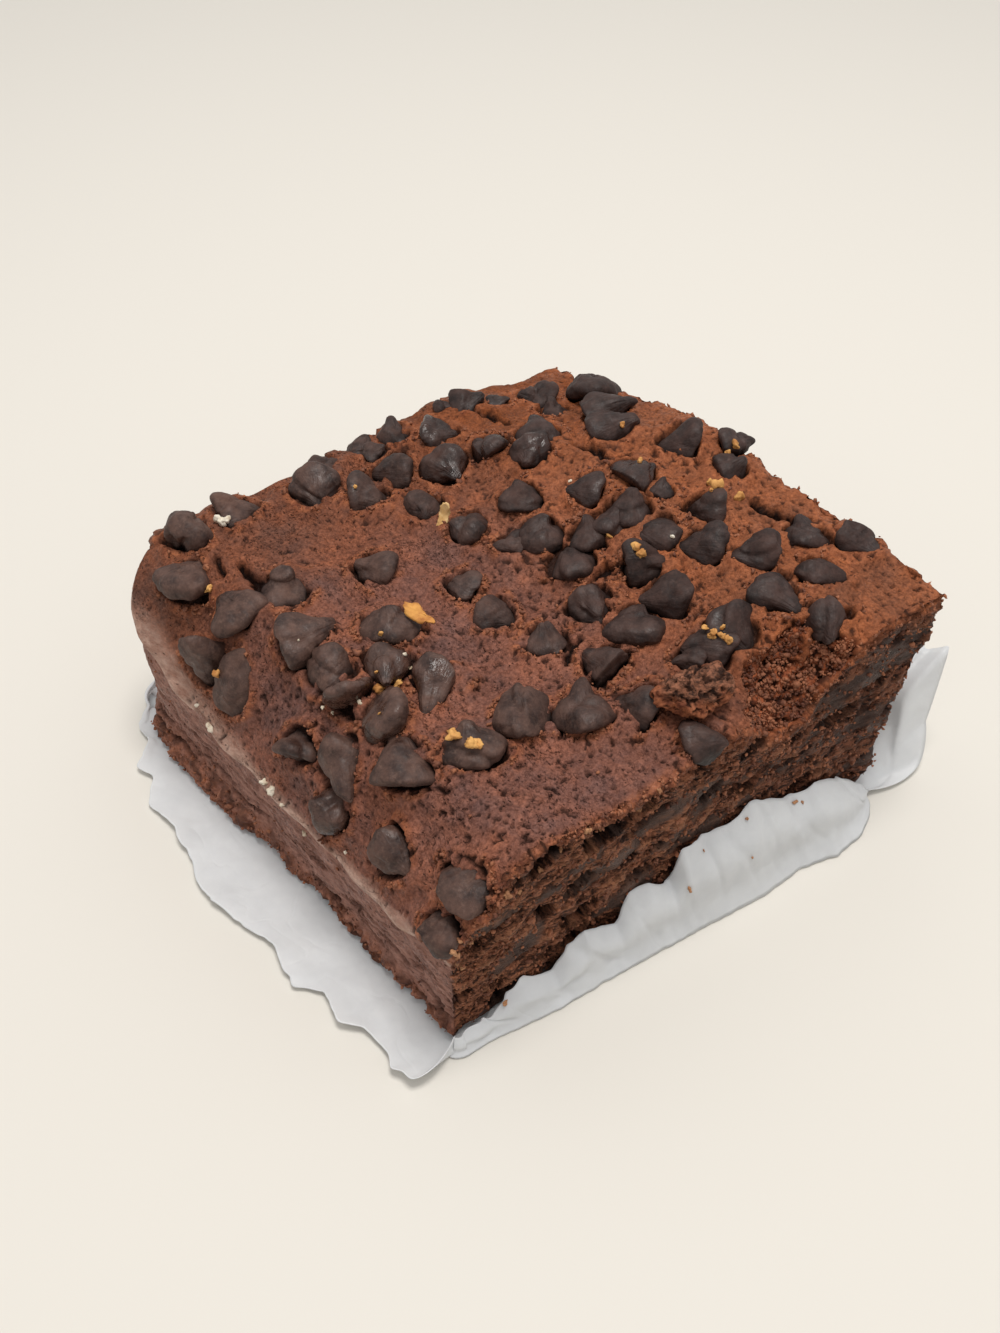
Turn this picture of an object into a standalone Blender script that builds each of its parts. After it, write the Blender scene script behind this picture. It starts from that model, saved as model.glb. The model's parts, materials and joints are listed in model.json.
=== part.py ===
"""A square chocolate brownie, topped with chocolate chips, in its fluted paper case.

Lengths are in millimetres and become metres where a mesh is made. While the pieces are made,
the front corner's foot is the zero point: +X runs along the cut front side, and +Y along the
side that was baked against the tin. At the end everything is centred on its footprint.
"""
import math

import bmesh
import bpy
from mathutils import Matrix, Vector, noise

MM = 0.001
OBJECT_NAME = "chocolate_brownie"

# Slab: plan corners at the foot
CORNER_FRONT = Vector((0.0, 0.0))
CORNER_RIGHT = Vector((75.0, -6.0))
CORNER_BACK = Vector((76.5, 79.0))
CORNER_LEFT = Vector((-7.0, 80.0))
TIN_CORNER_RADIUS = 12.0
SLAB_FOOT = 0.35
SLAB_CUTS = (22, 22, 5)

# Slab: heights of the crust
TIN_RIM_HEIGHT = 17.0
FRONT_RISE = 3.0
FRONT_RISE_LENGTH = 14.0
TIN_CORNER_RISE = 9.0
TIN_CORNER_RISE_START = 52.0
SHOULDER_WIDTH = 13.0
SHOULDER_POWER = 1.5
PLATEAU_HEIGHT = 33.5
PLATEAU_RISE = 6.5
PLATEAU_RISE_START = 35.0
PLATEAU_RISE_LENGTH = 30.0
BACK_CORNER_DROP = 8.5
BACK_CORNER_START = 40.0
BACK_CORNER_LENGTH = 38.0
CRUST_WAVE = 0.9
CRUST_WAVE_LENGTH = 17.0
BACK_EDGE_DROP = 1.0
BACK_EDGE_WIDTH = 7.0

# Slab: sides
TOP_OVERHANG = 5.8
SIDE_WAVE = 0.7
SIDE_WAVE_LENGTH = 6.0
RAGGED_FOOT = 1.0
RAGGED_FOOT_LENGTH = 5.0
RAGGED_FOOT_SHARE = 0.3
FOOT_FLARE = 2.0
FOOT_FLARE_START = 38.0
EVEN_FRONT_CORNER = 4.0

# The corner of crust that broke away above the cut front side
BREAK_CENTRE = Vector((55.0, -8.0))
BREAK_HALF = Vector((14.0, 15.0))
BREAK_DEPTH = 11.0

# Chips
CHIP_WIDTH = 7.5
CHIP_HEIGHT = 5.8
CHIP_PROFILE = ((0.0, 1.0), (0.2, 0.78), (0.49, 0.24), (0.46, 0.0), (0.0, 0.0))
CHIP_STEPS = 8
CHIP_SHARP_ANGLE = math.radians(60.0)
CHIP_MIDDLE = 0.4
CHIP_RISE = 0.9
CHIP_TIP_BEND = 0.9
CHIP_GAP = 0.35

# Paper case
PAPER_THICKNESS = 0.3
PAPER_CORNERS = ((0.0, -0.5), (74.0, -6.5), (77.0, 79.5), (-4.0, 77.0))
PAPER_SIDE_STEPS = 24
PAPER_LEVELS = 3
PAPER_CORNER_STEPS = 5
PAPER_CORNER_SHARE = 0.03
FLUTE_LENGTH = 10.0
# Round the case from the front corner, a side to each 1.0: (place, fold's distance out,
# rim's distance out, rim's height, bulge of the wall, scallop height, flute depth)
PAPER_STATIONS = (
    (0.00, 3.0, 3.6, 2.5, 0.2, 0.3, 0.2),
    (0.04, 2.8, 2.2, 4.5, 0.6, 0.8, 0.4),
    (0.12, 3.2, 2.6, 8.5, 1.0, 1.6, 0.6),
    (0.32, 4.0, 2.4, 13.0, 1.4, 2.0, 0.6),
    (0.55, 5.0, 2.4, 17.0, 1.8, 2.0, 0.6),
    (0.78, 6.0, 3.4, 17.5, 1.6, 1.8, 0.6),
    (0.90, 7.0, 4.2, 13.0, 1.0, 1.2, 0.5),
    (0.97, 3.2, 4.5, 8.0, 0.6, 0.6, 0.3),
    (1.00, 2.5, 9.0, 4.0, 0.0, 0.5, 0.3),
    (1.03, 2.5, 20.0, 17.0, 0.0, 1.0, 0.6),
    (1.10, 2.5, 18.0, 16.0, 0.0, 1.6, 0.8),
    (1.35, 2.5, 11.0, 15.0, 0.0, 1.6, 0.6),
    (2.00, 2.5, 7.5, 14.0, 0.4, 1.6, 0.6),
    (2.80, 4.0, 8.0, 12.0, 0.4, 1.4, 0.6),
    (2.98, 4.5, 6.5, 6.0, 0.2, 0.8, 0.6),
    (3.12, 5.5, 9.5, 3.0, 0.0, 0.5, 1.4),
    (3.35, 5.5, 13.0, 3.0, 0.0, 0.6, 1.6),
    (3.55, 4.5, 13.5, 3.2, 0.0, 0.6, 1.6),
    (3.85, 3.8, 11.0, 3.0, 0.0, 0.6, 1.6),
    (3.97, 3.5, 9.5, 2.6, 0.0, 0.4, 0.8),
)

# Each chip: x, y of its middle, the way its tip faces from +X towards +Y (degrees), its lean
# from upright (degrees; past 90 its flat base shows), and its width
CHIPS = (
    (6.5, 75.5, 30, 70, 8.0), (15.0, 75.5, -15, 75, 8.0), (2.5, 68.0, 50, 25, 8.5),
    (12.5, 56.0, 60, 10, 7.0), (5.0, 57.5, 105, 45, 8.0), (-1.0, 58.0, -130, 125, 7.5),
    (0.0, 51.0, -145, 60, 8.0), (8.5, 46.0, -20, 75, 8.5), (8.5, 39.0, -160, 60, 7.5),
    (8.5, 33.0, -105, 120, 6.5), (20.0, 40.5, 50, 30, 8.0), (10.0, 27.5, 140, 60, 7.5),
    (19.0, 28.0, -135, 80, 8.0), (24.5, 51.5, 130, 60, 8.0), (32.5, 40.5, 130, 65, 6.5),
    (33.0, 33.0, -65, 60, 6.5), (35.5, 25.0, 60, 30, 6.5), (38.5, 16.5, 105, 70, 7.5),
    (43.5, 25.0, -120, 50, 7.0), (45.5, 18.5, 60, 35, 8.0), (51.5, 18.5, 150, 75, 8.0),
    (24.5, 16.5, 70, 40, 8.0), (31.0, 12.0, 70, 45, 8.0), (37.0, 8.0, 125, 70, 7.5),
    (15.5, 16.0, 60, 30, 8.0), (8.0, 19.5, 55, 50, 8.0), (3.5, 28.5, -130, 80, 8.0),
    (1.5, 36.5, 35, 60, 7.0), (5.5, 3.5, -40, 10, 7.5), (54.0, 7.5, -90, 60, 8.0),
    (63.5, 0.5, -130, 75, 7.5), (61.5, 8.0, -90, 60, 8.0), (65.5, 15.5, 140, 60, 7.5),
    (74.0, 13.5, 50, 50, 7.0), (69.5, 7.5, 50, 50, 7.5), (79.0, 8.0, -90, 60, 7.0),
    (61.0, 21.0, 140, 70, 7.5), (66.5, 26.5, 140, 75, 7.5), (58.0, 27.5, 140, 50, 7.0),
    (56.5, 41.0, 135, 70, 6.5), (64.0, 38.5, 0, 50, 7.5), (58.5, 34.0, 50, 20, 7.0),
    (47.0, 40.5, 60, 20, 7.5), (47.0, 33.5, 75, 30, 7.5), (53.0, 25.0, -40, 75, 8.0),
    (49.5, 48.0, 50, 40, 7.0), (40.5, 50.0, 115, 50, 7.0), (38.0, 58.0, -130, 60, 6.5),
    (33.5, 66.5, -45, 75, 7.5), (27.0, 72.5, -130, 60, 8.5), (39.5, 68.0, 150, 70, 8.0),
    (45.5, 62.0, -115, 70, 8.0), (53.0, 61.0, 95, 60, 7.0), (50.0, 70.0, -40, 70, 7.5),
    (61.0, 58.0, 50, 50, 7.0), (78.0, 64.0, 50, 40, 7.5), (74.5, 40.0, 140, 75, 8.0),
    (76.0, 30.5, -40, 40, 6.5),
)

# Colours and roughness
CRUST_FINISH = ((0.105, 0.035, 0.020), 0.85)
CHIP_FINISH = ((0.030, 0.018, 0.014), 0.45)
PAPER_FINISH = ((0.80, 0.80, 0.80), 0.7)


def clamp(value, low=0.0, high=1.0):
    return max(low, min(high, value))


def smooth(value):
    value = clamp(value)
    return value * value * (3.0 - 2.0 * value)


def unevenness(x, y, length, seed=0.0):
    """Soft unevenness between about -1 and 1, with bumps of about the given length."""
    return noise.noise(Vector((x / length, y / length, seed)))


def crust_height(x, y):
    """Height of the crust above the table at a point of the plan."""
    along_tin = clamp(y / CORNER_LEFT.y)
    inward = x - CORNER_LEFT.x * along_tin
    rim = TIN_RIM_HEIGHT + FRONT_RISE * (1.0 - smooth(y / FRONT_RISE_LENGTH))
    to_corner = CORNER_LEFT.y - TIN_CORNER_RISE_START
    rim += TIN_CORNER_RISE * smooth((y - TIN_CORNER_RISE_START) / to_corner)
    plateau = PLATEAU_HEIGHT
    plateau += PLATEAU_RISE * smooth((x - PLATEAU_RISE_START) / PLATEAU_RISE_LENGTH)
    back_corner = smooth((x - BACK_CORNER_START) / BACK_CORNER_LENGTH)
    back_corner *= smooth((y - BACK_CORNER_START) / BACK_CORNER_LENGTH)
    plateau -= BACK_CORNER_DROP * back_corner
    plateau += CRUST_WAVE * unevenness(x, y, CRUST_WAVE_LENGTH)
    shoulder = 1.0 - (1.0 - clamp(inward / SHOULDER_WIDTH)) ** SHOULDER_POWER
    height = rim + (plateau - rim) * shoulder
    height -= BACK_EDGE_DROP * (1.0 - smooth((CORNER_LEFT.y - y) / BACK_EDGE_WIDTH))
    broken = math.hypot((x - BREAK_CENTRE.x) / BREAK_HALF.x, (y - BREAK_CENTRE.y) / BREAK_HALF.y)
    return height - BREAK_DEPTH * (1.0 - smooth(broken))


def slab_plan(along_front, along_tin):
    """Plan point for fractions along the cut front and along the tin side."""
    front = CORNER_FRONT.lerp(CORNER_RIGHT, along_front)
    back = CORNER_LEFT.lerp(CORNER_BACK, along_front)
    point = front.lerp(back, along_tin)
    tin_side = CORNER_FRONT.lerp(CORNER_LEFT, along_tin).x
    across = 1.0 - (point.x - tin_side) / TIN_CORNER_RADIUS
    beyond = 1.0 - (CORNER_LEFT.y - point.y) / TIN_CORNER_RADIUS
    if across > 0.0 and beyond > 0.0:
        across_round = across * math.sqrt(1.0 - beyond * beyond / 2.0)
        beyond_round = beyond * math.sqrt(1.0 - across * across / 2.0)
        point.x = tin_side + TIN_CORNER_RADIUS * (1.0 - across_round)
        point.y = CORNER_LEFT.y - TIN_CORNER_RADIUS * (1.0 - beyond_round)
    return point


def slab_point(along_front, along_tin, up):
    """Point of the slab for fractions along its front, along its tin side and up its height."""
    plan = slab_plan(along_front, along_tin)
    plan.x += TOP_OVERHANG * up * along_front * along_front
    height = SLAB_FOOT + (crust_height(plan.x, plan.y) - SLAB_FOOT) * up
    out = Vector((0.0, 0.0))
    if along_front in (0.0, 1.0):
        out.x = 1.0 if along_front else -1.0
    if along_tin in (0.0, 1.0):
        out.y = 1.0 if along_tin else -1.0
    uneven = SIDE_WAVE * unevenness(plan.x + plan.y, height, SIDE_WAVE_LENGTH, seed=3.0)
    foot = 1.0 - smooth(up / RAGGED_FOOT_SHARE)
    ragged = unevenness(plan.x - plan.y, 0.0, RAGGED_FOOT_LENGTH, seed=7.0)
    uneven += foot * RAGGED_FOOT * ragged
    if along_front == 0.0:
        flared = (plan.y - FOOT_FLARE_START) / (CORNER_LEFT.y - FOOT_FLARE_START)
        uneven += foot * FOOT_FLARE * math.sin(math.pi * clamp(flared))
    plan += out * uneven * smooth(plan.length / EVEN_FRONT_CORNER)
    return Vector((plan.x, plan.y, height)) * MM


def plain_material(name, colour, roughness):
    made = bpy.data.materials.new(name)
    made.use_nodes = True
    shader = made.node_tree.nodes["Principled BSDF"]
    shader.inputs["Base Color"].default_value = (*colour, 1.0)
    shader.inputs["Roughness"].default_value = roughness
    made.diffuse_color = (*colour, 1.0)
    return made


def add_object(name, mesh, collection):
    made = bpy.data.objects.new(name, mesh)
    collection.objects.link(made)
    return made


def mesh_from(shape, name):
    """Turn a bmesh into a mesh with its faces pointing out."""
    bmesh.ops.recalc_face_normals(shape, faces=shape.faces)
    mesh = bpy.data.meshes.new(name)
    shape.to_mesh(mesh)
    shape.free()
    return mesh


def build_slab(collection, finish):
    """The brownie itself: a cube, cut into a grid and shaped by slab_point."""
    shape = bmesh.new()
    bmesh.ops.create_cube(shape, size=1.0)
    for axis, cuts in enumerate(SLAB_CUTS):
        along = [edge for edge in shape.edges
                 if abs((edge.verts[0].co - edge.verts[1].co).normalized()[axis]) > 0.99]
        bmesh.ops.subdivide_edges(shape, edges=along, cuts=cuts, use_grid_fill=True)
    underside = [face for face in shape.faces if all(corner.co.z < 0.0 for corner in face.verts)
                 and face.normal.z < -0.5]
    bmesh.ops.dissolve_faces(shape, faces=underside)
    for vertex in shape.verts:
        fractions = [round(value + 0.5, 5) for value in vertex.co]
        vertex.co = slab_point(*fractions)
    mesh = mesh_from(shape, "brownie")
    mesh.materials.append(finish)
    return add_object("brownie", mesh, collection)


def chip_mesh():
    """A chip: a turned drop, its flat base at zero, its tip bent a little to one side."""
    shape = bmesh.new()
    corners = [shape.verts.new((CHIP_WIDTH * out * MM, 0.0, CHIP_HEIGHT * up * MM))
               for out, up in CHIP_PROFILE]
    for above, below in zip(corners, corners[1:]):
        shape.edges.new((above, below))
    mesh = bpy.data.meshes.new("chip_profile")
    shape.to_mesh(mesh)
    shape.free()
    holder = add_object("chip_profile", mesh, bpy.context.scene.collection)
    turn = holder.modifiers.new("turn", "SCREW")
    turn.steps = CHIP_STEPS
    turn.render_steps = CHIP_STEPS
    turn.use_merge_vertices = True
    turn.merge_threshold = 0.00001
    graph = bpy.context.evaluated_depsgraph_get()
    turned = bpy.data.meshes.new_from_object(holder.evaluated_get(graph))
    bpy.data.objects.remove(holder)
    height = CHIP_HEIGHT * MM
    for vertex in turned.vertices:
        vertex.co.x += CHIP_TIP_BEND * MM * (vertex.co.z / height) ** 2
    turned.name = "chip"
    turned.shade_smooth()
    turned.set_sharp_from_angle(angle=CHIP_SHARP_ANGLE)
    return turned


def chip_matrix(place, growth=0.0):
    """Where a chip sits. A growth widens it all round, for the pocket that it leaves."""
    x, y, facing, lean, width = place
    middle = CHIP_HEIGHT * CHIP_MIDDLE * width / CHIP_WIDTH
    sized = Matrix.Scale((width + 2.0 * growth) / CHIP_WIDTH, 4)
    upright = Matrix.Translation((0.0, 0.0, -(middle + growth) * MM)) @ sized
    tipped = Matrix.Rotation(math.radians(lean), 4, "Y")
    turned = Matrix.Rotation(math.radians(facing), 4, "Z")
    height = crust_height(x, y) + CHIP_RISE
    return Matrix.Translation(Vector((x, y, height)) * MM) @ turned @ tipped @ upright


def build_chips(parts, cutters, finish):
    """The chips, and a slightly wider cutter for each one's pocket in the crust."""
    mesh = chip_mesh()
    mesh.materials.append(finish)
    cutter_mesh = mesh.copy()
    for count, place in enumerate(CHIPS, start=1):
        chip = add_object(f"chip_{count:02d}", mesh, parts)
        chip.matrix_world = chip_matrix(place)
        cutter = add_object(f"pocket_{count:02d}", cutter_mesh, cutters)
        cutter.matrix_world = chip_matrix(place, CHIP_GAP)
        cutter.hide_render = True
        cutter.display_type = "WIRE"


def paper_measures(place):
    """The paper's measures at a place round the case, eased between the stations."""
    stations = (*PAPER_STATIONS, (PAPER_STATIONS[0][0] + 4.0, *PAPER_STATIONS[0][1:]))
    for before, after in zip(stations, stations[1:]):
        if after[0] > place:
            break
    share = smooth((place - before[0]) / (after[0] - before[0]))
    return [low + (high - low) * share for low, high in zip(before[1:], after[1:])]


def paper_round():
    """Stations round the case: (place, plan point, outward direction, distance run)."""
    corners = [Vector(corner) for corner in PAPER_CORNERS]
    outs = []
    for start, end in zip(corners, corners[1:] + corners[:1]):
        along = (end - start).normalized()
        outs.append(Vector((along.y, -along.x)))
    stations = []
    run = 0.0
    for side, (start, end) in enumerate(zip(corners, corners[1:] + corners[:1])):
        out = outs[side]
        next_out = outs[(side + 1) % 4]
        for step in range(PAPER_SIDE_STEPS):
            share = step / PAPER_SIDE_STEPS
            place = side + PAPER_CORNER_SHARE + share * (1.0 - 2.0 * PAPER_CORNER_SHARE)
            distance = run + share * (end - start).length
            stations.append((place, start.lerp(end, share), out, distance))
        run += (end - start).length
        for step in range(PAPER_CORNER_STEPS):
            share = step / PAPER_CORNER_STEPS
            place = side + 1.0 + PAPER_CORNER_SHARE * (2.0 * share - 1.0)
            turned = out.slerp(next_out, share)
            stations.append((place % 4.0, end.copy(), turned, run))
    return stations


def paper_wall(place, run, up):
    """How far out and how high the wall is, `up` from its fold (0) to its rim (1)."""
    fold, rim, rim_height, bulge, scallop, flute = paper_measures(place)
    out = fold + (rim - fold) * up + bulge * math.sin(math.pi * up)
    out += flute * up * math.sin(2.0 * math.pi * run / FLUTE_LENGTH)
    arch = abs(math.sin(math.pi * run / FLUTE_LENGTH)) - 0.5
    return out, max(rim_height * up + scallop * arch * up * up, 0.0)


def build_paper(collection, finish):
    """The paper case: a flat base with a fluted wall that lies flat on the tin side."""
    stations = paper_round()
    rows = [[(0.0, 0.0)] * len(stations)]
    for level in range(PAPER_LEVELS + 1):
        rows.append([paper_wall(place, run, level / PAPER_LEVELS)
                     for place, plan, out, run in stations])
    shape = bmesh.new()
    bmesh.ops.create_circle(shape, cap_ends=True, segments=len(stations), radius=1.0)
    ring = list(shape.verts)
    edges = list(shape.edges)
    for row in rows:
        if row is not rows[0]:
            made = bmesh.ops.extrude_edge_only(shape, edges=edges)["geom"]
            edges = [item for item in made if isinstance(item, bmesh.types.BMEdge)]
            corners = [item for item in made if isinstance(item, bmesh.types.BMVert)]
            ring = [next(edge.other_vert(vertex) for edge in vertex.link_edges
                         if edge.other_vert(vertex) in corners) for vertex in ring]
            edges = [edge for edge in edges if all(end in corners for end in edge.verts)]
        for vertex, (reach, height), (place, plan, out, run) in zip(ring, row, stations):
            spot = plan + out * reach
            vertex.co = Vector((spot.x, spot.y, height)) * MM
    mesh = mesh_from(shape, "paper_case")
    mesh.materials.append(finish)
    wall = add_object("paper_case", mesh, collection).modifiers.new("thickness", "SOLIDIFY")
    wall.thickness = PAPER_THICKNESS * MM
    wall.offset = 1.0


def centre_on_footprint(objects):
    """Move everything so that the middle of its footprint is the zero point."""
    bpy.context.view_layer.update()
    graph = bpy.context.evaluated_depsgraph_get()
    corners = []
    for item in objects:
        seen = item.evaluated_get(graph)
        corners += [seen.matrix_world @ Vector(corner) for corner in seen.bound_box]
    low = Vector([min(corner[axis] for corner in corners) for axis in range(3)])
    high = Vector([max(corner[axis] for corner in corners) for axis in range(3)])
    middle = Vector(((low.x + high.x) / 2.0, (low.y + high.y) / 2.0, low.z))
    for item in list(bpy.data.objects):
        item.matrix_world = Matrix.Translation(-middle) @ item.matrix_world


def build():
    for item in list(bpy.data.objects):
        bpy.data.objects.remove(item)
    parts = bpy.data.collections.new(OBJECT_NAME)
    cutters = bpy.data.collections.new("cutters")
    bpy.context.scene.collection.children.link(parts)
    bpy.context.scene.collection.children.link(cutters)
    slab = build_slab(parts, plain_material("crust", *CRUST_FINISH))
    build_chips(parts, cutters, plain_material("chocolate", *CHIP_FINISH))
    build_paper(parts, plain_material("greaseproof_paper", *PAPER_FINISH))
    pockets = slab.modifiers.new("pockets", "BOOLEAN")
    pockets.operand_type = "COLLECTION"
    pockets.collection = cutters
    pockets.operation = "DIFFERENCE"
    pockets.solver = "EXACT"
    centre_on_footprint(parts.objects)


build()
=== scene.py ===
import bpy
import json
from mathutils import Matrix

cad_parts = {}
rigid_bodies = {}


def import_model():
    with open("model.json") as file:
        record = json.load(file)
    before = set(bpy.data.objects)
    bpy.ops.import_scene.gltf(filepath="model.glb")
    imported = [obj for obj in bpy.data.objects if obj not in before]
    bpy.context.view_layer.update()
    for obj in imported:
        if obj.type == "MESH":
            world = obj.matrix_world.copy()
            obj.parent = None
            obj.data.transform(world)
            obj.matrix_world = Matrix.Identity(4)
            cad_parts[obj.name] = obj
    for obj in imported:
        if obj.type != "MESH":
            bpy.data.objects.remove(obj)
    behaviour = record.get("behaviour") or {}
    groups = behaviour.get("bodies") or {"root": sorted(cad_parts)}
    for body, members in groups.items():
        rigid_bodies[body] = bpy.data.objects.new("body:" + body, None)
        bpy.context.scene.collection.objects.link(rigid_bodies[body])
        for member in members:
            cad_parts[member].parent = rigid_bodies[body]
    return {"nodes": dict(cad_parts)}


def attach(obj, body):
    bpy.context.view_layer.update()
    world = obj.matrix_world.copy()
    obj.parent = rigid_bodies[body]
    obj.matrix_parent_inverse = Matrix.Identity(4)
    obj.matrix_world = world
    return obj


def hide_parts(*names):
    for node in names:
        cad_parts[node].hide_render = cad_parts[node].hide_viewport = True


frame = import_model()

"""The looks of a chocolate brownie, topped with chips, in its greaseproof paper case.

Pieces are shaped in millimetres in the slab's own frame: the front corner's foot is the zero
point, +X runs along the cut front side and +Y along the side baked against the tin. settle()
then brings each finished mesh to metres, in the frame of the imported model.
"""
import json
import math

import bmesh
import bpy
import numpy as np
from mathutils import Matrix, Vector, noise

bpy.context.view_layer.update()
MM = 0.001
BODY = "root"

# Where the slab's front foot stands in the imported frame
FRONT_FOOT = Vector((-38.85, -36.80, 0.30)) * MM

# The view
VIEW_HEIGHT = 150.0
VIEW_PLACE = Vector((-36.99, -57.32, VIEW_HEIGHT))
VIEW_DOWN = 48.0
VIEW_HEADING = -38.0
LENS = 31.058

# Slab: plan and crust heights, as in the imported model
CORNER_FRONT = Vector((0.0, 0.0))
CORNER_RIGHT = Vector((75.0, -6.0))
CORNER_BACK = Vector((76.5, 79.0))
CORNER_LEFT = Vector((-7.0, 80.0))
TIN_CORNER_RADIUS = 12.0
SLAB_FOOT = 0.35
TIN_RIM_HEIGHT = 17.0
FRONT_RISE = 3.0
FRONT_RISE_LENGTH = 14.0
TIN_CORNER_RISE = 9.0
TIN_CORNER_RISE_START = 52.0
SHOULDER_WIDTH = 13.0
SHOULDER_POWER = 1.5
PLATEAU_HEIGHT = 33.5
PLATEAU_RISE = 6.5
PLATEAU_RISE_START = 35.0
PLATEAU_RISE_LENGTH = 30.0
BACK_CORNER_DROP = 8.5
BACK_CORNER_START = 40.0
BACK_CORNER_LENGTH = 38.0
CRUST_WAVE = 0.9
CRUST_WAVE_LENGTH = 17.0
BACK_EDGE_DROP = 1.0
BACK_EDGE_WIDTH = 7.0
TOP_OVERHANG = 5.8
SIDE_WAVE = 0.7
SIDE_WAVE_LENGTH = 6.0
RAGGED_FOOT = 1.0
RAGGED_FOOT_LENGTH = 5.0
RAGGED_FOOT_SHARE = 0.3
FOOT_FLARE = 2.0
FOOT_FLARE_START = 38.0
EVEN_FRONT_CORNER = 4.0
BREAK_CENTRE = Vector((55.0, -8.0))
BREAK_HALF = Vector((14.0, 15.0))
BREAK_DEPTH = 11.0

# Slab: how finely it is cut for its relief
TOP_CELLS = 275
SIDE_CELLS = 72
FRONT_CROWDING = 1.18
MOST_TRIANGLES = 194000
# Fractions past which a point lies on the slab's edge
FAR_EDGE = 0.9999
NEAR_EDGE = 0.0001
# Which way the knife dragged the crumb, in degrees
DRAG_LEAN = 14.0


def smooth(value):
    value = np.clip(value, 0.0, 1.0)
    return value * value * (3.0 - 2.0 * value)


def unevenness(x, y, length, seed=0.0):
    """Soft unevenness between about -1 and 1, with bumps of about the given length."""
    return np.array([noise.noise(Vector((a / length, b / length, seed)))
                     for a, b in zip(np.ravel(x), np.ravel(y))]).reshape(np.shape(x))


def roughness_at(points, length, octaves=4, seed=0.0, stretch=(1.0, 1.0, 1.0)):
    """Fractal unevenness in space, about -1 to 1, with its largest bumps `length` long."""
    scaled = points / (length * np.array(stretch)) + seed
    return np.array([noise.fractal(Vector(point), 1.0, 2.1, octaves) for point in scaled])


def crust_height(x, y):
    """Height of the crust above the table at points of the plan."""
    along_tin = np.clip(y / CORNER_LEFT.y, 0.0, 1.0)
    inward = x - CORNER_LEFT.x * along_tin
    rim = TIN_RIM_HEIGHT + FRONT_RISE * (1.0 - smooth(y / FRONT_RISE_LENGTH))
    to_corner = CORNER_LEFT.y - TIN_CORNER_RISE_START
    rim = rim + TIN_CORNER_RISE * smooth((y - TIN_CORNER_RISE_START) / to_corner)
    plateau = PLATEAU_HEIGHT
    plateau = plateau + PLATEAU_RISE * smooth((x - PLATEAU_RISE_START) / PLATEAU_RISE_LENGTH)
    back_corner = smooth((x - BACK_CORNER_START) / BACK_CORNER_LENGTH)
    back_corner = back_corner * smooth((y - BACK_CORNER_START) / BACK_CORNER_LENGTH)
    plateau = plateau - BACK_CORNER_DROP * back_corner
    plateau = plateau + CRUST_WAVE * unevenness(x, y, CRUST_WAVE_LENGTH)
    shoulder = 1.0 - (1.0 - np.clip(inward / SHOULDER_WIDTH, 0.0, 1.0)) ** SHOULDER_POWER
    height = rim + (plateau - rim) * shoulder
    height = height - BACK_EDGE_DROP * (1.0 - smooth((CORNER_LEFT.y - y) / BACK_EDGE_WIDTH))
    broken = np.hypot((x - BREAK_CENTRE.x) / BREAK_HALF.x, (y - BREAK_CENTRE.y) / BREAK_HALF.y)
    return height - BREAK_DEPTH * (1.0 - smooth(broken))


def slab_plan(along_front, along_tin):
    """Plan points for fractions along the cut front and along the tin side."""
    front = [np.interp(along_front, (0, 1), (CORNER_FRONT[i], CORNER_RIGHT[i])) for i in (0, 1)]
    back = [np.interp(along_front, (0, 1), (CORNER_LEFT[i], CORNER_BACK[i])) for i in (0, 1)]
    x = front[0] + (back[0] - front[0]) * along_tin
    y = front[1] + (back[1] - front[1]) * along_tin
    tin_side = CORNER_LEFT.x * along_tin
    across = 1.0 - (x - tin_side) / TIN_CORNER_RADIUS
    beyond = 1.0 - (CORNER_LEFT.y - y) / TIN_CORNER_RADIUS
    rounded = (across > 0.0) & (beyond > 0.0)
    across_round = across * np.sqrt(np.clip(1.0 - beyond * beyond / 2.0, 0.0, None))
    beyond_round = beyond * np.sqrt(np.clip(1.0 - across * across / 2.0, 0.0, None))
    x = np.where(rounded, tin_side + TIN_CORNER_RADIUS * (1.0 - across_round), x)
    y = np.where(rounded, CORNER_LEFT.y - TIN_CORNER_RADIUS * (1.0 - beyond_round), y)
    return x, y


def slab_surface(fractions):
    """Points of the slab for fractions along its front, along its tin side and up its height."""
    along_front, along_tin, up = fractions.T
    x, y = slab_plan(along_front, along_tin)
    x = x + TOP_OVERHANG * up * along_front * along_front
    height = SLAB_FOOT + (crust_height(x, y) - SLAB_FOOT) * up
    out_x = np.where(along_front > FAR_EDGE, 1.0, np.where(along_front < NEAR_EDGE, -1.0, 0.0))
    out_y = np.where(along_tin > FAR_EDGE, 1.0, np.where(along_tin < NEAR_EDGE, -1.0, 0.0))
    uneven = SIDE_WAVE * unevenness(x + y, height, SIDE_WAVE_LENGTH, seed=3.0)
    foot = 1.0 - smooth(up / RAGGED_FOOT_SHARE)
    uneven += foot * RAGGED_FOOT * unevenness(x - y, 0.0 * x, RAGGED_FOOT_LENGTH, seed=7.0)
    flared = np.clip((y - FOOT_FLARE_START) / (CORNER_LEFT.y - FOOT_FLARE_START), 0.0, 1.0)
    uneven += np.where(out_x < 0.0, foot * FOOT_FLARE * np.sin(math.pi * flared), 0.0)
    uneven *= smooth(np.hypot(x, y) / EVEN_FRONT_CORNER)
    return np.column_stack((x + out_x * uneven, y + out_y * uneven, height))


# ---------------------------------------------------------------- workshop helpers

ANY_TURN = 6.28


def any_way(draw):
    return Vector(draw.normal(size=3)).normalized()


def deselect_all():
    for item in bpy.context.view_layer.objects:
        item.select_set(False)


def edit(piece):
    """Open one piece for editing, with nothing else selected."""
    deselect_all()
    bpy.context.view_layer.objects.active = piece
    piece.select_set(True)
    bpy.ops.object.mode_set(mode="EDIT")


def close_edit():
    bpy.ops.object.mode_set(mode="OBJECT")


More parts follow.
